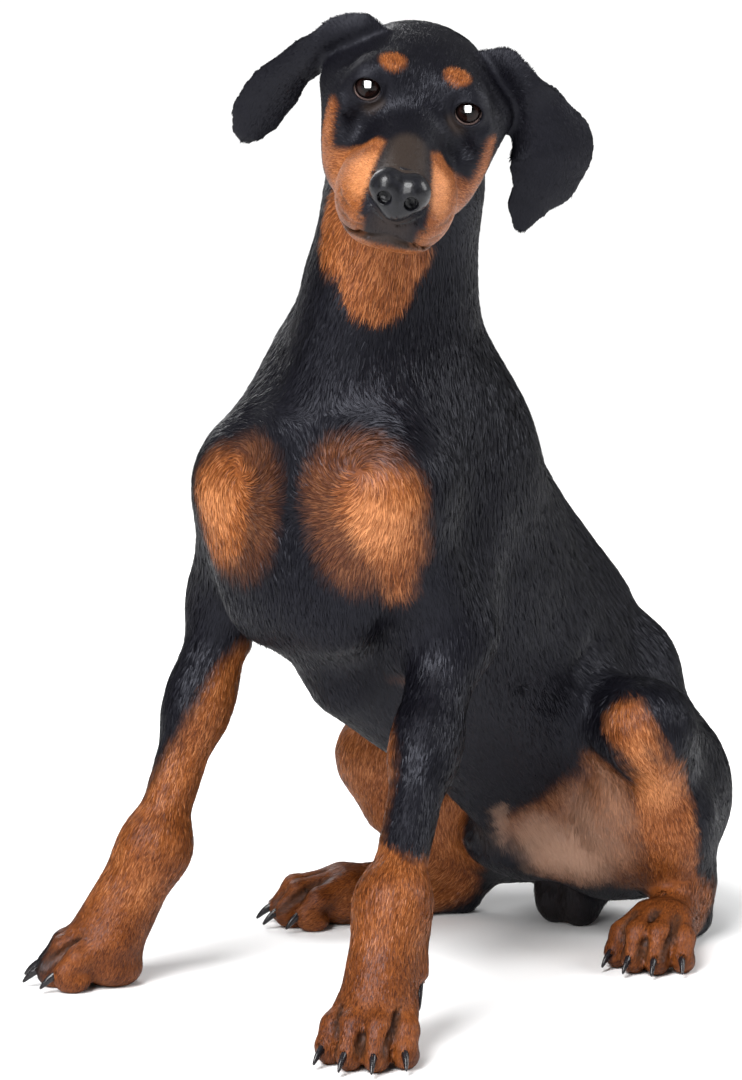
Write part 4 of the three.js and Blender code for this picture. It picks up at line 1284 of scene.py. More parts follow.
class Shader:
    """A node tree being laid out for one material."""

    def __init__(self, name: str, **sockets: object) -> None:
        """Starts a material with a principled shader whose plain values are set on its own sockets.

        Args:
            name: the material's name.
            sockets: plain values by the name of their socket.
        """
        self.material = bpy.data.materials.new(name)
        self.material.use_nodes = True
        self.tree = self.material.node_tree
        self.base = self.tree.nodes["Principled BSDF"]
        for key, value in sockets.items():
            self.base.inputs[key.replace("_", " ")].default_value = value

    def node(self, kind: str, **settings: object) -> bpy.types.Node:
        """A new node, with its properties and input values set by name.

        Args:
            kind: the node's type.
            settings: values by the name of the property or the input.

        Returns:
            The node.
        """
        made = self.tree.nodes.new(kind)
        for key, value in settings.items():
            if hasattr(made, key):
                setattr(made, key, value)
            else:
                made.inputs[key.replace("_", " ")].default_value = value
        return made

    def link(self, source: object, target: object) -> None:
        """Joins an output to an input."""
        self.tree.links.new(source, target)

    def attribute(self, name: str) -> bpy.types.NodeSocket:
        """The factor kept on the mesh under a name."""
        return self.node("ShaderNodeAttribute", attribute_name=name).outputs["Fac"]

    def noise(self, scale: float, detail: float = 3.0, rough: float = 0.55,
              stretch: Optional[Point] = None) -> bpy.types.NodeSocket:
        """Noise on the object's own coordinates, in metres.

        Args:
            scale: cells a metre.
            detail: octaves.
            rough: strength of the finer octaves.
            stretch: factors by which the coordinates are scaled first.

        Returns:
            The noise.
        """
        where = self.node("ShaderNodeTexCoord").outputs["Object"]
        if stretch is not None:
            turn = self.node("ShaderNodeMapping", Scale=tuple(stretch))
            self.link(where, turn.inputs["Vector"])
            where = turn.outputs["Vector"]
        made = self.node("ShaderNodeTexNoise", Scale=scale, Detail=detail, Roughness=rough)
        self.link(where, made.inputs["Vector"])
        return made.outputs["Fac"]

    def ramp(self, source: bpy.types.NodeSocket, *stops: tuple) -> bpy.types.NodeSocket:
        """A colour ramp over a factor, from pairs of place and colour.

        Args:
            source: the factor.
            stops: pairs of place and colour.

        Returns:
            The ramp's colour.
        """
        made = self.node("ShaderNodeValToRGB")
        points = made.color_ramp.elements
        while len(points) < len(stops):
            points.new(0.5)
        for point, (at, colour) in zip(points, stops):
            point.position, point.color = at, (*colour, 1.0)
        self.link(source, made.inputs["Fac"])
        return made.outputs["Color"]

    def mix(self, factor: bpy.types.NodeSocket, first: object, second: object) -> bpy.types.NodeSocket:
        """A colour that goes from the first to the second with a factor.

        Args:
            factor: share of the second colour.
            first: a colour, plain or linked.
            second: the other colour.

        Returns:
            The mixed colour.
        """
        made = self.node("ShaderNodeMix", data_type="RGBA")
        self.link(factor, made.inputs["Factor"])
        for name, value in (("A", first), ("B", second)):
            socket = next(s for s in made.inputs if s.name == name and s.type == "RGBA")
            if isinstance(value, tuple):
                socket.default_value = (*value, 1.0)
            else:
                self.link(value, socket)
        return next(s for s in made.outputs if s.type == "RGBA")

    def sum(self, *parts: tuple) -> bpy.types.NodeSocket:
        """A weighted sum of factors, from pairs of factor and weight.

        Args:
            parts: pairs of factor and weight.

        Returns:
            The sum.
        """
        total = None
        for socket, weight in parts:
            made = self.node("ShaderNodeMath", operation="MULTIPLY_ADD")
            self.link(socket, made.inputs[0])
            made.inputs[1].default_value = weight
            if total is None:
                made.inputs[2].default_value = 0.0
            else:
                self.link(total, made.inputs[2])
            total = made.outputs[0]
        return total

    def colour(self, source: bpy.types.NodeSocket) -> None:
        """Gives the shader its colour."""
        self.link(source, self.base.inputs["Base Color"])

    def bump(self, height: bpy.types.NodeSocket, strength: float, distance: float) -> None:
        """Gives the shader a bump from a height.

        Args:
            height: the height.
            strength: how strong the bump is, up to 1.
            distance: its depth in metres.
        """
        made = self.node("ShaderNodeBump", Strength=strength, Distance=distance)
        self.link(height, made.inputs["Height"])
        self.link(made.outputs["Normal"], self.base.inputs["Normal"])


@dataclass(frozen=True)
class CoatFinish:
    """Short fur, black over most of the dog and rust tan in its markings.

    Attributes:
        black: colour of the black fur.
        tan: colours of the tan fur, from dark to light.
        bare: colour of thinly haired skin.
        dark: colour of dull brown-black fur, as on the flews, and of the painted shade in the toe clefts.
        gloss: tint of the fur's gloss.
    """

    black: tuple = (0.0033, 0.0031, 0.0052)
    tan: tuple = ((0.042, 0.009, 0.002), (0.22, 0.062, 0.012), (0.66, 0.27, 0.105))
    bare: tuple = (0.42, 0.25, 0.17)
    dark: tuple = (0.040, 0.028, 0.021)
    gloss: tuple = (0.84, 0.86, 1.0, 1.0)

    def lay(self, s: Shader, black: bpy.types.NodeSocket, tan: bpy.types.NodeSocket) -> None:
        """Lays the colours over each other by the shares kept on the mesh.

        Args:
            s: the shader that gets the colour.
            black: colour of the black fur.
            tan: colour of the tan fur.
        """
        # Dull brown-black fur, and painted shade in the toe clefts, laid over the black and the tan.
        colour = s.mix(s.attribute("dull_fur_and_cleft_shade"), s.mix(s.attribute("tan"), black, tan), self.dark)
        s.colour(s.mix(s.attribute("bare"), colour, self.bare))

    def skin(self) -> bpy.types.Material:
        """Finish of the skin, on its own coordinates and painted factors.

        Returns:
            The material.
        """
        s = Shader("coat_on_skin", Roughness=0.5, Specular_IOR_Level=0.18, Specular_Tint=self.gloss)
        broad, fine = s.noise(38, 4), s.noise(900, 3, 0.6)
        # The shade factor lifts the tan with painted highlights and deepens it round the paws and wrists.
        tan = s.ramp(s.sum((broad, 0.5), (fine, 0.4), (s.attribute("shade"), 0.45)),
                     (0.1, self.tan[0]), (0.45, self.tan[1]), (0.85, self.tan[2]))
        black = s.ramp(fine, (0.3, scaled(self.black, 0.55)), (0.75, scaled(self.black, 1.5)))
        self.lay(s, black, tan)
        s.bump(s.sum((fine, 0.7), (s.noise(2600, 2), 0.3)), 0.35, 0.0006)
        return s.material

    def tufts(self) -> bpy.types.Material:
        """Finish of the tufts, which vary from one to the next.

        Returns:
            The material.
        """
        s = Shader("coat_tufts", Roughness=0.44, Specular_IOR_Level=0.23, Specular_Tint=self.gloss)
        # The shade factor brings the painted highlights onto the tufts too.
        tone = s.sum((s.attribute("tone"), 0.22), (s.attribute("tip"), 0.25), (s.noise(38, 4), 0.5),
                     (s.attribute("shade"), 0.6))
        tan = s.ramp(tone, (0.0, self.tan[0]), (0.4, self.tan[1]), (0.95, self.tan[2]))
        black = s.ramp(tone, (0.0, scaled(self.black, 0.5)), (1.0, scaled(self.black, 1.8)))
        self.lay(s, black, tan)
        return s.material


@dataclass(frozen=True)
class LeatherFinish:
    """Black nose leather, pebbled and damp."""

    colour: tuple = (0.0045, 0.0045, 0.0062)

    def make(self) -> bpy.types.Material:
        """Finish of the nose.

        Returns:
            The material.
        """
        s = Shader("leather_nose", Roughness=0.4, Specular_IOR_Level=0.16, Coat_Weight=0.42,
                   Coat_Roughness=0.15, Coat_IOR=1.45)
        where = s.node("ShaderNodeTexCoord").outputs["Object"]
        cells = s.node("ShaderNodeTexVoronoi", Scale=900.0)
        s.link(where, cells.inputs["Vector"])
        s.colour(s.ramp(s.noise(300, 3), (0.3, scaled(self.colour, 0.6)), (0.7, scaled(self.colour, 2.0))))
        s.bump(s.sum((cells.outputs["Distance"], -1.0), (s.noise(1500, 2), 0.3)), 0.3, 0.0005)
        return s.material


@dataclass(frozen=True)
class HornFinish:
    """Glossy black horn of the claws."""

    colour: tuple = (0.006, 0.005, 0.006)

    def make(self) -> bpy.types.Material:
        """Finish of the claws.

        Returns:
            The material.
        """
        s = Shader("horn_claw", Roughness=0.22, Specular_IOR_Level=0.4)
        grain = s.noise(220, 4, 0.6, (1, 1, 6))
        s.colour(s.ramp(grain, (0.3, self.colour), (0.75, scaled(self.colour, 3))))
        s.bump(grain, 0.3, 0.0004)
        return s.material


@dataclass(frozen=True)
class EyeFinish:
    """Dark brown iris, black pupil and a wet cornea, by the distance from the middle of the eye."""

    pupil: tuple = (0.001, 0.001, 0.001)
    iris: tuple = ((0.004, 0.002, 0.002), (0.014, 0.006, 0.005), (0.005, 0.003, 0.003))
    rim: tuple = (0.003, 0.002, 0.002)
    white: tuple = (0.34, 0.24, 0.22)

    def make(self) -> bpy.types.Material:
        """Finish of the eyeball, on the attribute that holds the distance from its middle.

        Returns:
            The material.
        """
        s = Shader("eye_brown", Roughness=0.3, Specular_IOR_Level=0.0, Coat_Weight=0.6, Coat_Roughness=0.01,
                   Coat_IOR=1.38)
        inner, middle, outer = self.iris
        s.colour(s.ramp(s.attribute("apart"), (0.0, self.pupil), (0.30, self.pupil), (0.345, inner),
                        (0.55, middle), (0.74, outer), (0.84, self.rim), (0.9, self.white)))
        return s.material


# Nose, eyes and claws


@dataclass
class NoseLeather:
    """The nose leather, finer than its solid.

    Attributes:
        voxel: cell of the remesh, in metres.
        flare: how far the nostrils are opened, in millimetres.
    """

    dog: Dog
    voxel: float = 0.0007
    flare: float = 0.6

    def build(self) -> bpy.types.Object:
        """A copy of the solid, remeshed and laid on the nose's form.

        Returns:
            The piece.
        """
        shift = self.dog.shift()
        piece = welded_copy("nose", "nose_leather")
        piece.data.remesh_voxel_size = self.voxel
        bpy.ops.object.voxel_remesh()
        form = self.dog.head.nose_form(self.flare)
        tris, edges = triangles_of(piece), edges_of(piece)
        points = (read_points(piece) - shift) * 1000
        outer = (1 - step(0.7, 1.6, np.abs(form.at(points))))[:, None]
        for _ in range(6):
            n = normals_at(points, tris)
            points -= np.clip(form.at(points), -1.5, 1.5)[:, None] * n * 0.8 * outer
            move = neighbour_mean(points, edges) - points
            points += outer * 0.3 * (move - (move * n).sum(1)[:, None] * n) + (1 - outer) * 0.6 * move
        write_points(piece, points / 1000 + shift)
        piece.data.materials.clear()
        piece.data.materials.append(LeatherFinish().make())
        bpy.ops.object.shade_smooth()
        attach(piece, "root")
        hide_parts("nose")
        return piece


@dataclass
class EyeBall:
    """An eyeball with a bulging cornea that looks at the visitor.

    Attributes:
        gaze: where the eye looks.
        radius: the ball's radius, in millimetres.
        iris: the iris's radius, along the ball.
        bulge: how far the cornea stands out over the ball.
        span: distance along the ball that the attribute "apart" counts as 1.
    """

    dog: Dog
    side: Side
    gaze: Point = (0.64, -0.765, 0.06)
    radius: float = 11.2
    iris: float = 8.6
    bulge: float = 0.35
    span: float = 12.0

    def build(self) -> bpy.types.Object:
        """A ball around the gaze, drawn out over the iris.

        Returns:
            The piece.
        """
        at = self.dog.eye_at(self.side)
        clear_selection()
        bpy.ops.mesh.primitive_uv_sphere_add(segments=64, ring_count=40, radius=1.0)
        piece = bpy.context.object
        piece.name = f"eyeball_{self.side.name.lower()}"
        ball = read_points(piece)
        forward = unit(np.array(self.gaze, float))
        across = unit(np.cross((0, 0, 1), forward))
        up = np.cross(forward, across)
        angle = np.arccos(np.clip(ball[:, 2], -1, 1)) * self.radius
        dome = np.clip(1 - (angle / (self.iris * 1.08)) ** 2, 0, None)
        reach = self.radius + self.bulge * dome ** 1.5
        points = at + (ball[:, :1] * across + ball[:, 1:2] * up + ball[:, 2:] * forward) * reach[:, None]
        write_points(piece, points / 1000 + self.dog.shift())
        set_attribute(piece, "apart", np.clip(angle / self.span, 0, 1))
        piece.data.materials.append(EyeFinish().make())
        choose(piece)
        bpy.ops.object.shade_smooth()
        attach(piece, "root")
        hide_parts(f"eye_{self.side.name.lower()}")
        return piece


@dataclass
class Claws:
    """All the claws: copies of their solids, smoothed."""

    smooth: int = 2

    def build(self) -> list:
        """One piece for each claw.

        Returns:
            The pieces.
        """
        horn = HornFinish().make()
        made = []
        for name in sorted(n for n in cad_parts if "claw" in n):
            piece = welded_copy(name, f"horn_{name}")
            piece.modifiers.new("round", "SUBSURF").levels = self.smooth
            bpy.ops.object.modifier_apply(modifier="round")
            bpy.ops.object.shade_smooth()
            piece.data.materials.clear()
            piece.data.materials.append(horn)
            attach(piece, "root")
            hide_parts(name)
            made.append(piece)
        return made


# Markings


@dataclass
class Markings:
    """The dog's colours, the same for its skin and its coat.

    The patches are rows of weight, line, radii and edge, in the dog's frame or, for the face, in the
    head's frame folded onto its left half.

    Attributes:
        spots: tan of the brows and the cheeks, on the face.
        throat: tan of the throat and the chest.
        haunches: tan of the hind legs, the belly and the root of the tail.
        pink: thinly haired skin of the belly.
        lips: dull fur of the flews, the lips, the bridge of the nose and the lids, on the face.
        sac: dull fur of the sheath and the scrotum.
        face_highlight: painted highlight, a lighter tan on the sides of the muzzle, on the face.
        pale: painted highlight, a lighter tan on the chest patches and the knee of the left hind leg.
    """

    dog: Dog
    spots: tuple = (
        (1, ((22.5, 20, -9.5),), (9.2,), 2.6),
        (1, ((47, -62, -15), (52, -40, -12), (54.5, -20, -7)), (12, 9, 5.5), 3.5))
    throat: tuple = (
        (1, ((58, -14, 548), (58, -16, 530)), (36, 27), 4),
        (1, ((50, -34, 566),), (34,), 6),
        (1, ((-54, -60, 378), (-52, -60, 350)), (29, 27), 11),
        (0.3, ((-34, -60, 380), (-30, -60, 348)), (34, 32), 10),
        (1, ((82, -42, 376), (84, -32, 350), (84, -26, 316)), (30, 24, 9), 10),
        (0.4, ((68, -52, 384), (70, -46, 346)), (38, 30), 11))
    haunches: tuple = (
        (1, ((128, 193, 192), (136, 216, 158), (130, 234, 124), (128, 250, 84), (124, 262, 52)),
         (17, 22, 22, 20, 20), 5),
        (0.62, ((94, 206, 148), (98, 216, 122), (104, 236, 84), (98, 250, 54)), (20, 26, 24, 20), 7),
        (0.5, ((28, 194, 100), (54, 212, 104), (80, 212, 116)), (15, 25, 30), 9),
        (0.5, ((48, 222, 74), (88, 232, 74)), (26, 26), 9),
        (1, ((-118, 172, 140), (-112, 196, 84), (-90, 240, 44)), (40, 38, 34), 7),
        (1, ((-72, 222, 76),), (40,), 8),
        (0.9, ((6, 378, 38),), (17,), 6))
    pink: tuple = (
        (0.9, ((34, 200, 92), (50, 212, 78), (66, 224, 66)), (14, 23, 18), 16),
        (0.5, ((70, 216, 108), (84, 222, 84)), (20, 22), 18),
        (0.35, ((92, 206, 144), (98, 222, 110)), (12, 14), 12),
        (0.5, ((22, 170, 112), (8, 196, 84)), (6, 6), 6))
    lips: tuple = (
        (0.6, ((0, -56, 100), (14, -66, 92), (26, -72, 82)), (13, 7, 5), 6),
        (0.75, ((0, -72, 100), (17, -75, 92), (38, -80, 52)), (4, 3.5, 3), 2.5),
        (0.8, ((0, -14, 60), (0, -20, 84)), (15, 18), 7),
        (0.6, ((25, -10, 0), (31, -13, 2)), (5, 4), 4))
    sac: tuple = ((0.3, ((0, 184, 92), (2, 236, 62), (2, 286, 24)), (11, 17, 32), 5),)
    # Painted highlights: lighter tan where the light falls on the muzzle, the chest and the left knee.
    face_highlight: tuple = ((1, ((24, -34, 70), (26, -40, 88)), (11, 11), 8),)
    pale: tuple = (
        (1, ((134, 204, 172), (132, 226, 134)), (14, 15), 12),
        (0.8, ((-58, -62, 364),), (18,), 12),
        (1, ((84, -44, 362),), (18,), 14))

    def ragged(self, points: np.ndarray, size: float) -> np.ndarray:
        """Points moved to and fro a little, so that no marking has a drawn edge.

        Args:
            points: places in the dog's frame.
            size: how far they move at most, in millimetres.

        Returns:
            The places moved.
        """
        def wave(along: Point, late: float = 0.0) -> np.ndarray:
            """A wave through space."""
            return np.sin(points @ np.array(along) + late)

        a = wave((0.31, 0.17, 0.23)) * wave((-0.13, 0.37, 0.11), 1.3)
        b = wave((0.11, -0.29, 0.33), 0.7) * wave((0.27, 0.19, -0.21))
        return points + size * np.stack([a, b, (a + b) / 2], 1)

    def face(self, points: np.ndarray) -> np.ndarray:
        """Tan of the brow spots, the sides of the muzzle, the cheeks and the chin.

        Args:
            points: places in the dog's frame.

        Returns:
            The share of tan at each.
        """
        head = self.dog.head.folded(points)
        x, y, z = head.T
        top = np.interp(z, (-34, -12, 3, 21, 36, 60, 110), (-60, -50, -44, -35, -22, -17, -14))
        bridge = np.interp(z, (20, 50, 76, 92, 110), (26, 14.5, 18, 20, 22))
        middle = np.interp(z, (60, 84, 98), (0, 4, 14))
        rear = step(-26, -12, z - (y + 50) * 0.12)
        muzzle = step(-1.5, 4, x - bridge) * (1 - step(-4, 3, y - top)) * rear
        under = (1 - step(-66, -56, y)) * step(-30, -16, z) * step(1, 8, x - middle)
        jaw = (1 - step(-82, -72, y)) * step(-60, -40, z)
        tan = np.max([muzzle, under, jaw, strongest(head, self.spots)], axis=0)
        return tan * step(-122, -104, y) * (1 - step(64, 74, x))

    def leg(self, points: np.ndarray, leg: ForeLeg, heights: Point, edges: Point,
            slant: float) -> np.ndarray:
        """Tan of a foreleg: all round below, and up the inner side.

        Args:
            points: places in the dog's frame.
            leg: the foreleg.
            heights: heights at which the edge of the tan is given.
            edges: how far that edge lies to the inside of the leg's middle.
            slant: how much a place to the rear counts as the inside.

        Returns:
            The share of tan at each place.
        """
        elbow, wrist = np.array(leg.elbow, float), np.array(leg.wrist, float)
        t = (points[:, 2] - wrist[2]) / (elbow[2] - wrist[2])
        away = points - wrist - t[:, None] * (elbow - wrist)
        inner = -leg.side.value * away[:, 0] + slant * away[:, 1]
        reach = np.interp(points[:, 2], (50, 110, 170), (190, 62, 40))
        near = 1 - step(reach, reach * 1.25, np.hypot(away[:, 0], away[:, 1]))
        own = step(-5, 20, leg.side.value * points[:, 0] - 20)
        below = 1 - step(heights[-1] - 22, heights[-1] + 12, points[:, 2])
        return near * own * below * step(-11, 11, inner - np.interp(points[:, 2], heights, edges))

    def tan(self, points: np.ndarray) -> np.ndarray:
        """Share of tan.

        Args:
            points: places in the dog's frame.

        Returns:
            The share at each.
        """
        p = self.ragged(points, 2.2)
        d = self.dog
        parts = [
            self.face(points), strongest(p, self.throat), strongest(p, self.haunches),
            self.leg(p, d.fore_right, (96, 140, 200, 240, 268), (-60, -22, 0, 12, 34), 0.6),
            self.leg(p, d.fore_left, (116, 132, 146, 205, 236), (-60, -24, 15, 17, 34), -0.3)]
        feet = [(1, ((paw.at[0], paw.at[1], 12), leg.hock), (46, 24), 6)
                for paw, leg in zip(d.paws[2:], (d.hind_left, d.hind_right))]
        parts.append(strongest(p, feet))
        behind = points[:, 1] - d.hind_left.hock[1] + 6
        rear = step(4, 18, behind) * (points[:, 0] > 60) * step(40, 62, points[:, 2])
        return np.clip(np.max(parts, axis=0) * (1 - rear), 0, 1)

    def bare(self, points: np.ndarray) -> np.ndarray:
        """Share of thinly haired, pinkish skin."""
        return strongest(self.ragged(points, 3.0), self.pink)

    def dull_fur_and_cleft_shade(self, points: np.ndarray) -> np.ndarray:
        """Share of dull brown-black fur at nose, lips, lids, whiskers and sheath; painted shade in toe
        clefts.

        Args:
            points: places in the dog's frame.

        Returns:
            The share at each.
        """
        rows = [(0.7, line, (1.3,) * 3, 0.8) for line in WHISKERS]
        parts = [strongest(self.dog.head.folded(points), (*self.lips, *rows)), strongest(points, self.sac)]
        # Painted shade: dark lines in the clefts between the toes.
        for paw in self.dog.paws:
            clefts = [(0.75, line, (4.0, 4.6), 3.0) for line in paw.clefts()]
            parts.append(strongest(paw.place.into(points), clefts))
        return np.clip(np.max(parts, axis=0), 0, 1)

    def shade(self, points: np.ndarray) -> np.ndarray:
        """How much lighter, by painted highlights above 0, or deeper, below 0, the colour is than its
        middle.

        Args:
            points: places in the dog's frame.

        Returns:
            The change at each.
        """
        # Painted highlights lift the colour; round the paws and the wrists it is deeper.
        pale = np.maximum(strongest(self.dog.head.folded(points), self.face_highlight),
                          strongest(points, self.pale))
        deep = strongest(points, [(1, (paw.at,), (72,), 22) for paw in self.dog.paws])
        wrists = strongest(points, [(1, (leg.wrist,), (30,), 14)
                                    for leg in (self.dog.fore_left, self.dog.fore_right)])
        return 0.62 * pale - 0.3 * deep - 0.2 * wrists

    def at(self, points: np.ndarray) -> dict[str, np.ndarray]:
        """All factors at points of the dog's frame."""
        # The dull fur's share also holds the painted shade in the toe clefts.
        return {"tan": self.tan(points), "bare": self.bare(points), "dull_fur_and_cleft_shade": self.dull_fur_and_cleft_shade(points),
                # The shade factor holds the painted highlights and the deeper paws and wrists.
                "shade": self.shade(points)}


# Coat


@dataclass
class Lie:
    """How the fur lies: its direction, length and width at points of the dog's frame.

    Attributes:
        body: length of the tufts on the body, in millimetres.
        legs, paws, head, face, ears: their length there.
    """

    dog: Dog
    body: float = 9.5
    legs: float = 7.0
    paws: float = 4.2
    head: float = 5.0
    face: float = 2.4
    ears: float = 3.2

    def lines(self) -> list[tuple[np.ndarray, np.ndarray, float]]:
        """Stretches that the fur runs along, with the weight of each.

        Returns:
            Start, end and weight of each stretch.
        """
        d = self.dog
        rows = [
            (((40, 30, 650), (10, 110, 500), (0, 142, 416), (2, 246, 212), (4, 318, 132),
              (2, 366, 92)), 1.0),
            (((46, -36, 570), (24, -66, 470), (0, -66, 400), (0, -52, 330), (0, 60, 235),
              (2, 190, 120)), 1.0),
            (((40, 96, 420), (96, 150, 250), (80, 260, 130)), 0.7),
            (((-40, 98, 420), (-92, 150, 250), (-76, 260, 130)), 0.7)]
        for leg, paw in ((d.fore_left, d.paws[0]), (d.fore_right, d.paws[1])):
            rows.append(((leg.blade, leg.shoulder, leg.elbow, leg.wrist, paw.at), 1.0))
        for leg, paw in ((d.hind_left, d.paws[2]), (d.hind_right, d.paws[3])):
            rows.append(((leg.hip, leg.knee, leg.hock, paw.at), 1.0))
        rows.append((tuple(at for at, _ in d.tail), 1.2))
        for ear in EARS.values():
            rows.append((tuple(d.head.place.out(np.array([s[0] for s in ear.stations], float))), 3.0))
        return [(np.array(a, float), np.array(b, float), weight)
                for row, weight in rows for a, b in zip(row, row[1:])]

    def direction(self, points: np.ndarray) -> np.ndarray:
        """Which way the fur points, before it is laid on the skin.

        Args:
            points: places in the dog's frame.

        Returns:
            A direction for each.
        """
        total = np.zeros_like(points)
        for a, b, weight in self.lines():
            ab = b - a
            t = np.clip(((points - a) @ ab) / (ab @ ab), 0, 1)
            gap = ((points - a - t[:, None] * ab) ** 2).sum(1)
            total += (weight / (gap + 60.0) ** 1.5)[:, None] * unit(ab)
        total = unit(total)
        place = self.dog.head.place
        head = place.into(points)
        back = place.out(unit(head - (0.0, -30.0, 108.0))) - place.out(np.zeros(3))
        on_head = step(-110, -60, head[:, 2]) * step(-120, -95, head[:, 1])
        on_head = on_head * (1 - step(72, 80, np.abs(head[:, 0])))
        total = between(total, back, on_head[:, None])
        for at, spin in (((-34, -70, 392), 1.0), ((72, -66, 396), -1.0)):
            away = points - np.array(at, float)
            near = 1 - step(25, 85, np.linalg.norm(away * (1, 0.7, 0.8), axis=1))
            swirl = unit(away) * 0.45 + unit(np.cross((0.0, -1.0, 0.0), away)) * spin * 0.9
            total = total * (1 - 0.8 * near[:, None]) + 0.8 * swirl * near[:, None]
        return total

    def size(self, points: np.ndarray, gap: np.ndarray) -> tuple[np.ndarray, np.ndarray]:
        """Length and width of the tufts.

        Args:
            points: places in the dog's frame.
            gap: their distance to the nearest ear.

        Returns:
            Lengths and widths in millimetres.
        """
        head = self.dog.head.place.into(points)
        on_head = step(-130, -70, head[:, 2]) * step(-110, -80, head[:, 1])
        face = step(0, 50, head[:, 2]) * on_head
        near_eyes = 1 - step(13, 30, self.dog.head.eye_gap(head, -3))
        long = np.full(len(points), self.body)
        for goal, share in ((self.legs, 1 - step(90, 260, points[:, 2])),
                            (self.paws, 1 - step(50, 95, self.dog.paw_gap(points))),
                            (self.head, on_head),
                            (self.face, np.maximum(0.75 * face, near_eyes)),
                            (self.ears, 1 - step(4, 12, gap))):
            long = between(long, goal, share)
        return long, 0.32 + 0.062 * long


@dataclass(frozen=True)
class Roots:
    """Where the tufts stand on the skin.

    Attributes:
        triangle: the triangle of each tuft.
        corners: the three points of that triangle.
        share: the share of each corner in the place.
    """

    triangle: np.ndarray
    corners: np.ndarray
    share: np.ndarray

    def blend(self, values: np.ndarray) -> np.ndarray:
        """Values of the skin's points, mixed at the roots."""
        share = self.share[..., None] if values.ndim > 1 else self.share
        return (values[self.corners] * share).sum(1)


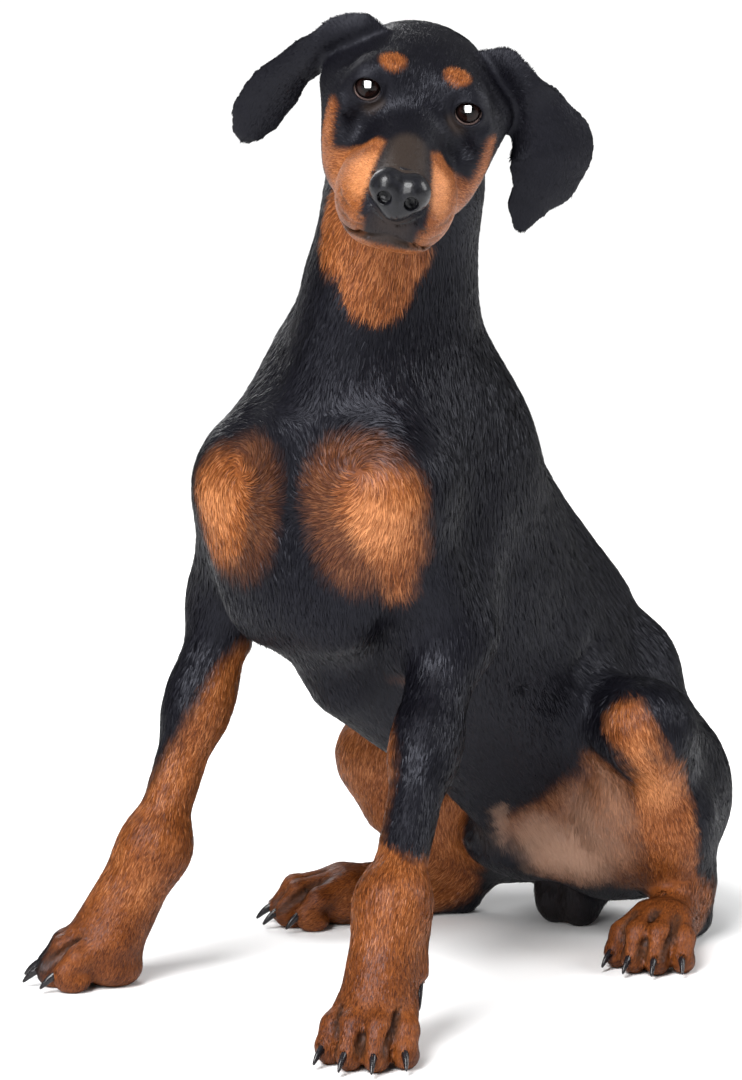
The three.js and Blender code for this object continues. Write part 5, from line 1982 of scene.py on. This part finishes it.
@dataclass
class Coat:
    """Tufts of short fur over the skin, each a slim bent blade of two triangles.

    Attributes:
        count: how many tufts the dog has.
        most: how many one piece holds at most.
        rise: how far the blades lift off the skin, as a slope.
        sway: spread of their turns on the skin, in radians.
        roll: spread of their turns about their own length, in radians.
        sunk: how far their roots lie in the skin, in millimetres.
    """

    dog: Dog
    skin: bpy.types.Object
    markings: Markings
    material: bpy.types.Material
    count: int = 730000
    most: int = 95000
    rise: float = 0.13
    sway: float = 0.13
    roll: float = 0.22
    sunk: float = 0.15
    seed: int = 7

    def build(self) -> list:
        """Grows the tufts and keeps them as pieces by region.

        Returns:
            The pieces.
        """
        rng = np.random.default_rng(self.seed)
        shift = self.dog.shift()
        points = (read_points(self.skin) - shift) * 1000
        tris = triangles_of(self.skin)
        long, wide = Lie(self.dog).size(points, self.dog.ear_gap(points))
        roots = self.scatter(rng, points, tris, self.want(points, long, wide))
        blade, root = self.blades(rng, points, tris, roots, long, wide)
        tone = rng.uniform(-1, 1, self.count)
        uv = self.root_places(roots)
        LOG.info("tufts grown: %d", self.count)
        made = []
        for name, rows in self.regions(root).items():
            pieces = max(1, math.ceil(len(rows) / self.most))
            for k, part in enumerate(np.array_split(rows, pieces)):
                label = f"coat_{name}_{k + 1}" if pieces > 1 else f"coat_{name}"
                made.append(self.piece(label, blade[part], root[part], tone[part], uv[part], shift))
        return made

    def want(self, points: np.ndarray, long: np.ndarray, wide: np.ndarray) -> np.ndarray:
        """How thickly the tufts stand: thin on bare skin, none on the eyes and the nose.

        Args:
            points: the skin's points in the dog's frame.
            long: length of the tufts at each.
            wide: their width.

        Returns:
            A weight for each point.
        """
        bare = self.markings.bare(points)
        eyes = [self.dog.eye_at(side) for side in Side]
        near_eye = np.min([np.linalg.norm(points - eye, axis=1) for eye in eyes], axis=0)
        off_nose = step(0.2, 1.2, self.dog.head.nose_form().at(points))
        return (1 - 0.6 * bare) * step(13.2, 15.5, near_eye) * off_nose / (long * wide) ** 0.62

    def scatter(self, rng: np.random.Generator, points: np.ndarray, tris: np.ndarray,
                want: np.ndarray) -> Roots:
        """Spreads the roots of the tufts over the skin.

        Args:
            rng: the source of the random draws.
            points: the skin's points.
            tris: its triangles.
            want: how thickly the tufts stand at each point.

        Returns:
            The roots.
        """
        corner = want[tris].mean(1)
        a, b, c = (points[tris[:, k]] for k in range(3))
        area = np.linalg.norm(np.cross(b - a, c - a), axis=1) / 2
        share = np.cumsum(area * corner)
        draw = (np.arange(self.count) + rng.random(self.count)) / self.count * share[-1]
        pick = np.minimum(np.searchsorted(share, draw), len(tris) - 1)
        u, v = rng.random(self.count), rng.random(self.count)
        flip = u + v > 1
        u[flip], v[flip] = 1 - u[flip], 1 - v[flip]
        return Roots(pick, tris[pick], np.stack([1 - u - v, u, v], 1))

    def flow(self, points: np.ndarray, normal: np.ndarray, edges: np.ndarray) -> np.ndarray:
        """Which way the fur points along the skin.

        Args:
            points: the skin's points in the dog's frame.
            normal: outward direction at each.
            edges: the skin's edges.

        Returns:
            A direction for each point.
        """
        flow = Lie(self.dog).direction(points)
        flow = unit(flow - (flow * normal).sum(1)[:, None] * normal)
        for _ in range(4):
            flow = neighbour_mean(flow, edges) + flow
            flow = unit(flow - (flow * normal).sum(1)[:, None] * normal)
        return flow

    def blades(self, rng: np.random.Generator, points: np.ndarray, tris: np.ndarray, roots: Roots,
               long: np.ndarray, wide: np.ndarray) -> tuple[np.ndarray, np.ndarray]:
        """Bends a blade over the skin at each root.

        Args:
            rng: the source of the random draws.
            points: the skin's points in the dog's frame.
            tris: its triangles.
            roots: where the tufts stand.
            long: length of the tufts at each point.
            wide: their width.

        Returns:
            The four corners of each blade, and its root.
        """
        edges, normal = edges_of(self.skin), normals_at(points, tris)
        flow = self.flow(points, normal, edges)
        bend = self.bend(points, normal, flow, edges)
        root, n, f = roots.blend(points), unit(roots.blend(normal)), roots.blend(flow)
        f = unit(f - (f * n).sum(1)[:, None] * n)
        side = np.cross(n, f)
        turn = rng.normal(0, self.sway, self.count)[:, None]
        f, side = f * np.cos(turn) + side * np.sin(turn), side * np.cos(turn) - f * np.sin(turn)
        length = (roots.blend(long) * rng.uniform(0.7, 1.25, self.count))[:, None]
        half = (roots.blend(wide) * rng.uniform(0.75, 1.2, self.count))[:, None] / 2
        roll = rng.normal(0, self.roll, self.count)[:, None]
        across = side * np.cos(roll) + n * np.sin(roll)
        curve = roots.blend(bend)[:, None]
        lift = self.rise * rng.uniform(0.4, 1.5, self.count)[:, None]
        root = root - n * self.sunk

        def along(t: float, up: float) -> np.ndarray:
            """A place on the blade's middle line."""
            s = length * t
            return root + f * s + n * (lift * s * up - curve * s * s / 2)

        middle = along(0.42, 1.15)
        corners = [along(0.0, 1.0), middle - across * half, along(1.0, 0.8), middle + across * half]
        blade = np.stack(corners, 1)
        blade[..., 2] = np.maximum(blade[..., 2], COAT_FLOOR)
        return blade, root

    def bend(self, points: np.ndarray, normal: np.ndarray, flow: np.ndarray,
             edges: np.ndarray) -> np.ndarray:
        """Curvature of the skin along the fur, a millimetre.

        Args:
            points: the skin's points in the dog's frame.
            normal: outward direction at each.
            flow: which way the fur points at each.
            edges: the skin's edges.

        Returns:
            The curvature at each point, above 0 where the skin bulges.
        """
        top, under = np.zeros(len(points)), np.full(len(points), 1e-9)
        for i, j in ((edges[:, 0], edges[:, 1]), (edges[:, 1], edges[:, 0])):
            e = points[j] - points[i]
            size = (e * e).sum(1)
            k = ((normal[j] - normal[i]) * e).sum(1) / np.maximum(size, 1e-9)
            w = ((e * flow[i]).sum(1) ** 2 / np.maximum(size, 1e-9)) ** 2
            top += np.bincount(i, w * k, len(points))
            under += np.bincount(i, w, len(points))
        return np.clip(top / under, -0.035, 0.1)

    def root_places(self, roots: Roots) -> np.ndarray:
        """Places of the roots on the skin's unwrap.

        Args:
            roots: where the tufts stand.

        Returns:
            A place on the unwrap for each tuft.
        """
        mesh = self.skin.data
        loops = np.empty(len(mesh.loop_triangles) * 3, np.int32)
        mesh.loop_triangles.foreach_get("loops", loops)
        flat = np.empty(len(mesh.loops) * 2, np.float32)
        mesh.uv_layers[UNWRAP].data.foreach_get("uv", flat)
        corners = flat.reshape(-1, 2)[loops.reshape(-1, 3)[roots.triangle]]
        return (corners * roots.share[..., None]).sum(1)

    def regions(self, root: np.ndarray) -> dict[str, np.ndarray]:
        """Rows of the tufts in each region, in order along the body.

        Args:
            root: places of the roots in the dog's frame.

        Returns:
            The rows by the region's name.
        """
        head = self.dog.head.place.into(root)
        on_head = (head[:, 2] > -104) & (head[:, 1] > -100)
        legs = root[:, 2] < 232
        front = legs & (root[:, 1] < 90)
        names = {"head": on_head, "neck": ~on_head & (root[:, 2] > 412), "forelegs": ~on_head & front,
                 "hindquarters": ~on_head & legs & ~front}
        taken = np.logical_or.reduce(list(names.values()))
        names["trunk"] = ~taken
        out = {}
        for name, mask in names.items():
            rows = np.nonzero(mask)[0]
            out[name] = rows[np.argsort(root[rows, 1] - 0.5 * root[rows, 2], kind="stable")]
        return out

    def piece(self, name: str, blade: np.ndarray, root: np.ndarray, tone: np.ndarray, uv: np.ndarray,
              shift: np.ndarray) -> bpy.types.Object:
        """One mesh of tufts with its markings and its unwrap.

        Args:
            name: the piece's name.
            blade: corners of its blades in the dog's frame.
            root: places of their roots.
            tone: how light each tuft is, from -1 to 1.
            uv: places of the roots on the unwrap.
            shift: place of the dog's origin, in metres.

        Returns:
            The piece.
        """
        count = len(blade)
        mesh = bpy.data.meshes.new(name)
        mesh.vertices.add(count * 4)
        mesh.vertices.foreach_set("co", (blade.reshape(-1, 3) / 1000 + shift).astype(np.float32).ravel())
        base = np.arange(count)[:, None] * 4
        faces = np.concatenate([base + (0, 1, 3), base + (1, 2, 3)], 1).astype(np.int32)
        mesh.loops.add(count * 6)
        mesh.loops.foreach_set("vertex_index", faces.ravel())
        mesh.polygons.add(count * 2)
        mesh.polygons.foreach_set("loop_start", np.arange(count * 2, dtype=np.int32) * 3)
        mesh.polygons.foreach_set("use_smooth", np.ones(count * 2, bool))
        mesh.update(calc_edges=True)
        layer = mesh.uv_layers.new(name=UNWRAP)
        patch = np.array([(-0.0015, 0), (0, -0.001), (0.0015, 0), (0, 0.001)])
        spread = (uv[:, None] + patch[None]).reshape(-1, 2)[faces.ravel()]
        layer.data.foreach_set("uv", spread.astype(np.float32).ravel())
        obj = bpy.data.objects.new(name, mesh)
        bpy.context.scene.collection.objects.link(obj)
        for key, values in self.markings.at(root).items():
            set_attribute(obj, key, np.repeat(values, 4))
        set_attribute(obj, "tone", np.repeat(tone, 4))
        set_attribute(obj, "tip", np.tile([0.0, 0.5, 1.0, 0.5], count))
        mesh.materials.append(self.material)
        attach(obj, "root")
        LOG.info("%s: %d triangles", name, count * 2)
        return obj


# Studio


@dataclass
class Studio:
    """Pale floor, soft lights and the camera."""

    dog: Dog
    eye: Point = (1773.5, -2068.3, 700.0)
    turn: Point = (82.4, 0.0, 40.0)
    lens: float = 83.78

    def build(self) -> None:
        """Lays the floor, hangs the lights and sets the camera."""
        shift = self.dog.shift()
        clear_selection()
        bpy.ops.mesh.primitive_plane_add(size=160.0, location=(0.0, 0.0, 0.0))
        floor = bpy.context.object
        floor.name = "studio_floor"
        s = Shader("paper", Roughness=0.9, Specular_IOR_Level=0.0)
        s.base.inputs["Base Color"].default_value = (0.95, 0.95, 0.95, 1.0)
        floor.data.materials.append(s.material)
        self.sky()
        self.sun("key", (0.15, -1.0, 1.25), 3.7, 30.0)
        self.lamp("softbox", (0.75, -2.7, 1.7), (1.3, 1.4), 46.0)
        self.lamp("rim", (1.9, 1.5, 1.9), (1.2, 1.6), 46.0)
        self.lamp("edge", (-1.9, 1.0, 1.6), (1.0, 1.6), 34.0)
        self.eye_light()
        data = bpy.data.cameras.new("camera")
        data.sensor_fit, data.sensor_height, data.sensor_width = "VERTICAL", 24.0, 24.0
        data.lens, data.clip_start = self.lens, 0.05
        camera = bpy.data.objects.new("camera", data)
        camera.location = np.array(self.eye) / 1000 + shift
        camera.rotation_euler = [math.radians(a) for a in self.turn]
        bpy.context.scene.collection.objects.link(camera)
        bpy.context.scene.camera = camera
        bpy.context.scene.view_settings.view_transform = "Standard"

    def eye_light(self) -> None:
        """A soft box over the camera that only the eyes mirror, for their catch-lights."""
        head = self.dog.head.place.out(np.zeros(3)) / 1000 + self.dog.shift()
        toward = unit(np.array([0.60, -0.76, 0.27]))
        light = self.lamp("eye_light", tuple(head + toward * 2.0), (1.9, 2.2), 1900.0, tuple(head))
        light.visible_diffuse = False
        eyes = bpy.data.collections.new("eyes")
        for side in Side:
            eyes.objects.link(bpy.data.objects[f"eyeball_{side.name.lower()}"])
        light.light_linking.receiver_collection = eyes

    def sky(self) -> None:
        """A pale world, bright at the floor's far edge and dimmer above."""
        world = bpy.data.worlds.new("studio")
        world.use_nodes = True
        tree = world.node_tree
        parts = tree.nodes.new("ShaderNodeSeparateXYZ")
        tree.links.new(tree.nodes.new("ShaderNodeTexCoord").outputs["Generated"], parts.inputs[0])
        ramp = tree.nodes.new("ShaderNodeValToRGB")
        for point, (at, grey) in zip(ramp.color_ramp.elements, ((0.012, 1.0), (0.06, 0.2))):
            point.position, point.color = at, (grey, grey, grey, 1.0)
        tree.links.new(parts.outputs["Z"], ramp.inputs["Fac"])
        tree.links.new(ramp.outputs["Color"], tree.nodes["Background"].inputs["Color"])
        tree.nodes["Background"].inputs["Strength"].default_value = 1.1
        bpy.context.scene.world = world

    def sun(self, name: str, toward: Point, power: float, spread: float) -> None:
        """A soft sun from a direction, with its spread in degrees.

        Args:
            name: the light's name.
            toward: the side that it stands on.
            power: its strength.
            spread: its angle in degrees.
        """
        clear_selection()
        bpy.ops.object.light_add(type="SUN", location=toward)
        light = bpy.context.object
        light.name = name
        light.data.energy, light.data.angle = power, math.radians(spread)
        light.rotation_euler = self.facing(np.array(toward, float))

    def lamp(self, name: str, at: Point, size: Point, power: float,
             aim: Point = (0.0, -0.1, 0.35)) -> bpy.types.Object:
        """A soft rectangular lamp that points at the dog's chest, or where it is told to.

        Args:
            name: the light's name.
            at: its place in metres.
            size: its width and height.
            power: its strength in watts.
            aim: where it points.

        Returns:
            The light.
        """
        clear_selection()
        bpy.ops.object.light_add(type="AREA", location=at)
        light = bpy.context.object
        light.name = name
        light.data.shape, light.data.size, light.data.size_y = "RECTANGLE", *size
        light.data.energy = power
        light.rotation_euler = self.facing(np.array(at) - aim)
        return light

    @staticmethod
    def facing(back: np.ndarray) -> tuple[float, float, float]:
        """Turns of a light whose back points along a direction."""
        x, y, z = unit(back)
        return math.acos(z), 0.0, math.atan2(x, -y)


def main() -> None:
    """Builds the dog and its studio."""
    logging.basicConfig(level=logging.INFO, format="%(name)s: %(message)s")
    dog = Dog()
    markings = Markings(dog)
    skin = Skin(dog).build()
    for key, values in markings.at((read_points(skin) - dog.shift()) * 1000).items():
        set_attribute(skin, key, values)
    skin.data.materials.append(CoatFinish().skin())
    LOG.info("skin: %d faces", len(skin.data.polygons))
    Coat(dog, skin, markings, CoatFinish().tufts()).build()
    NoseLeather(dog).build()
    for side in Side:
        EyeBall(dog, side).build()
    Claws().build()
    LOG.info("nose, eyes and claws")
    Studio(dog).build()


if __name__ == "__main__":
    main()
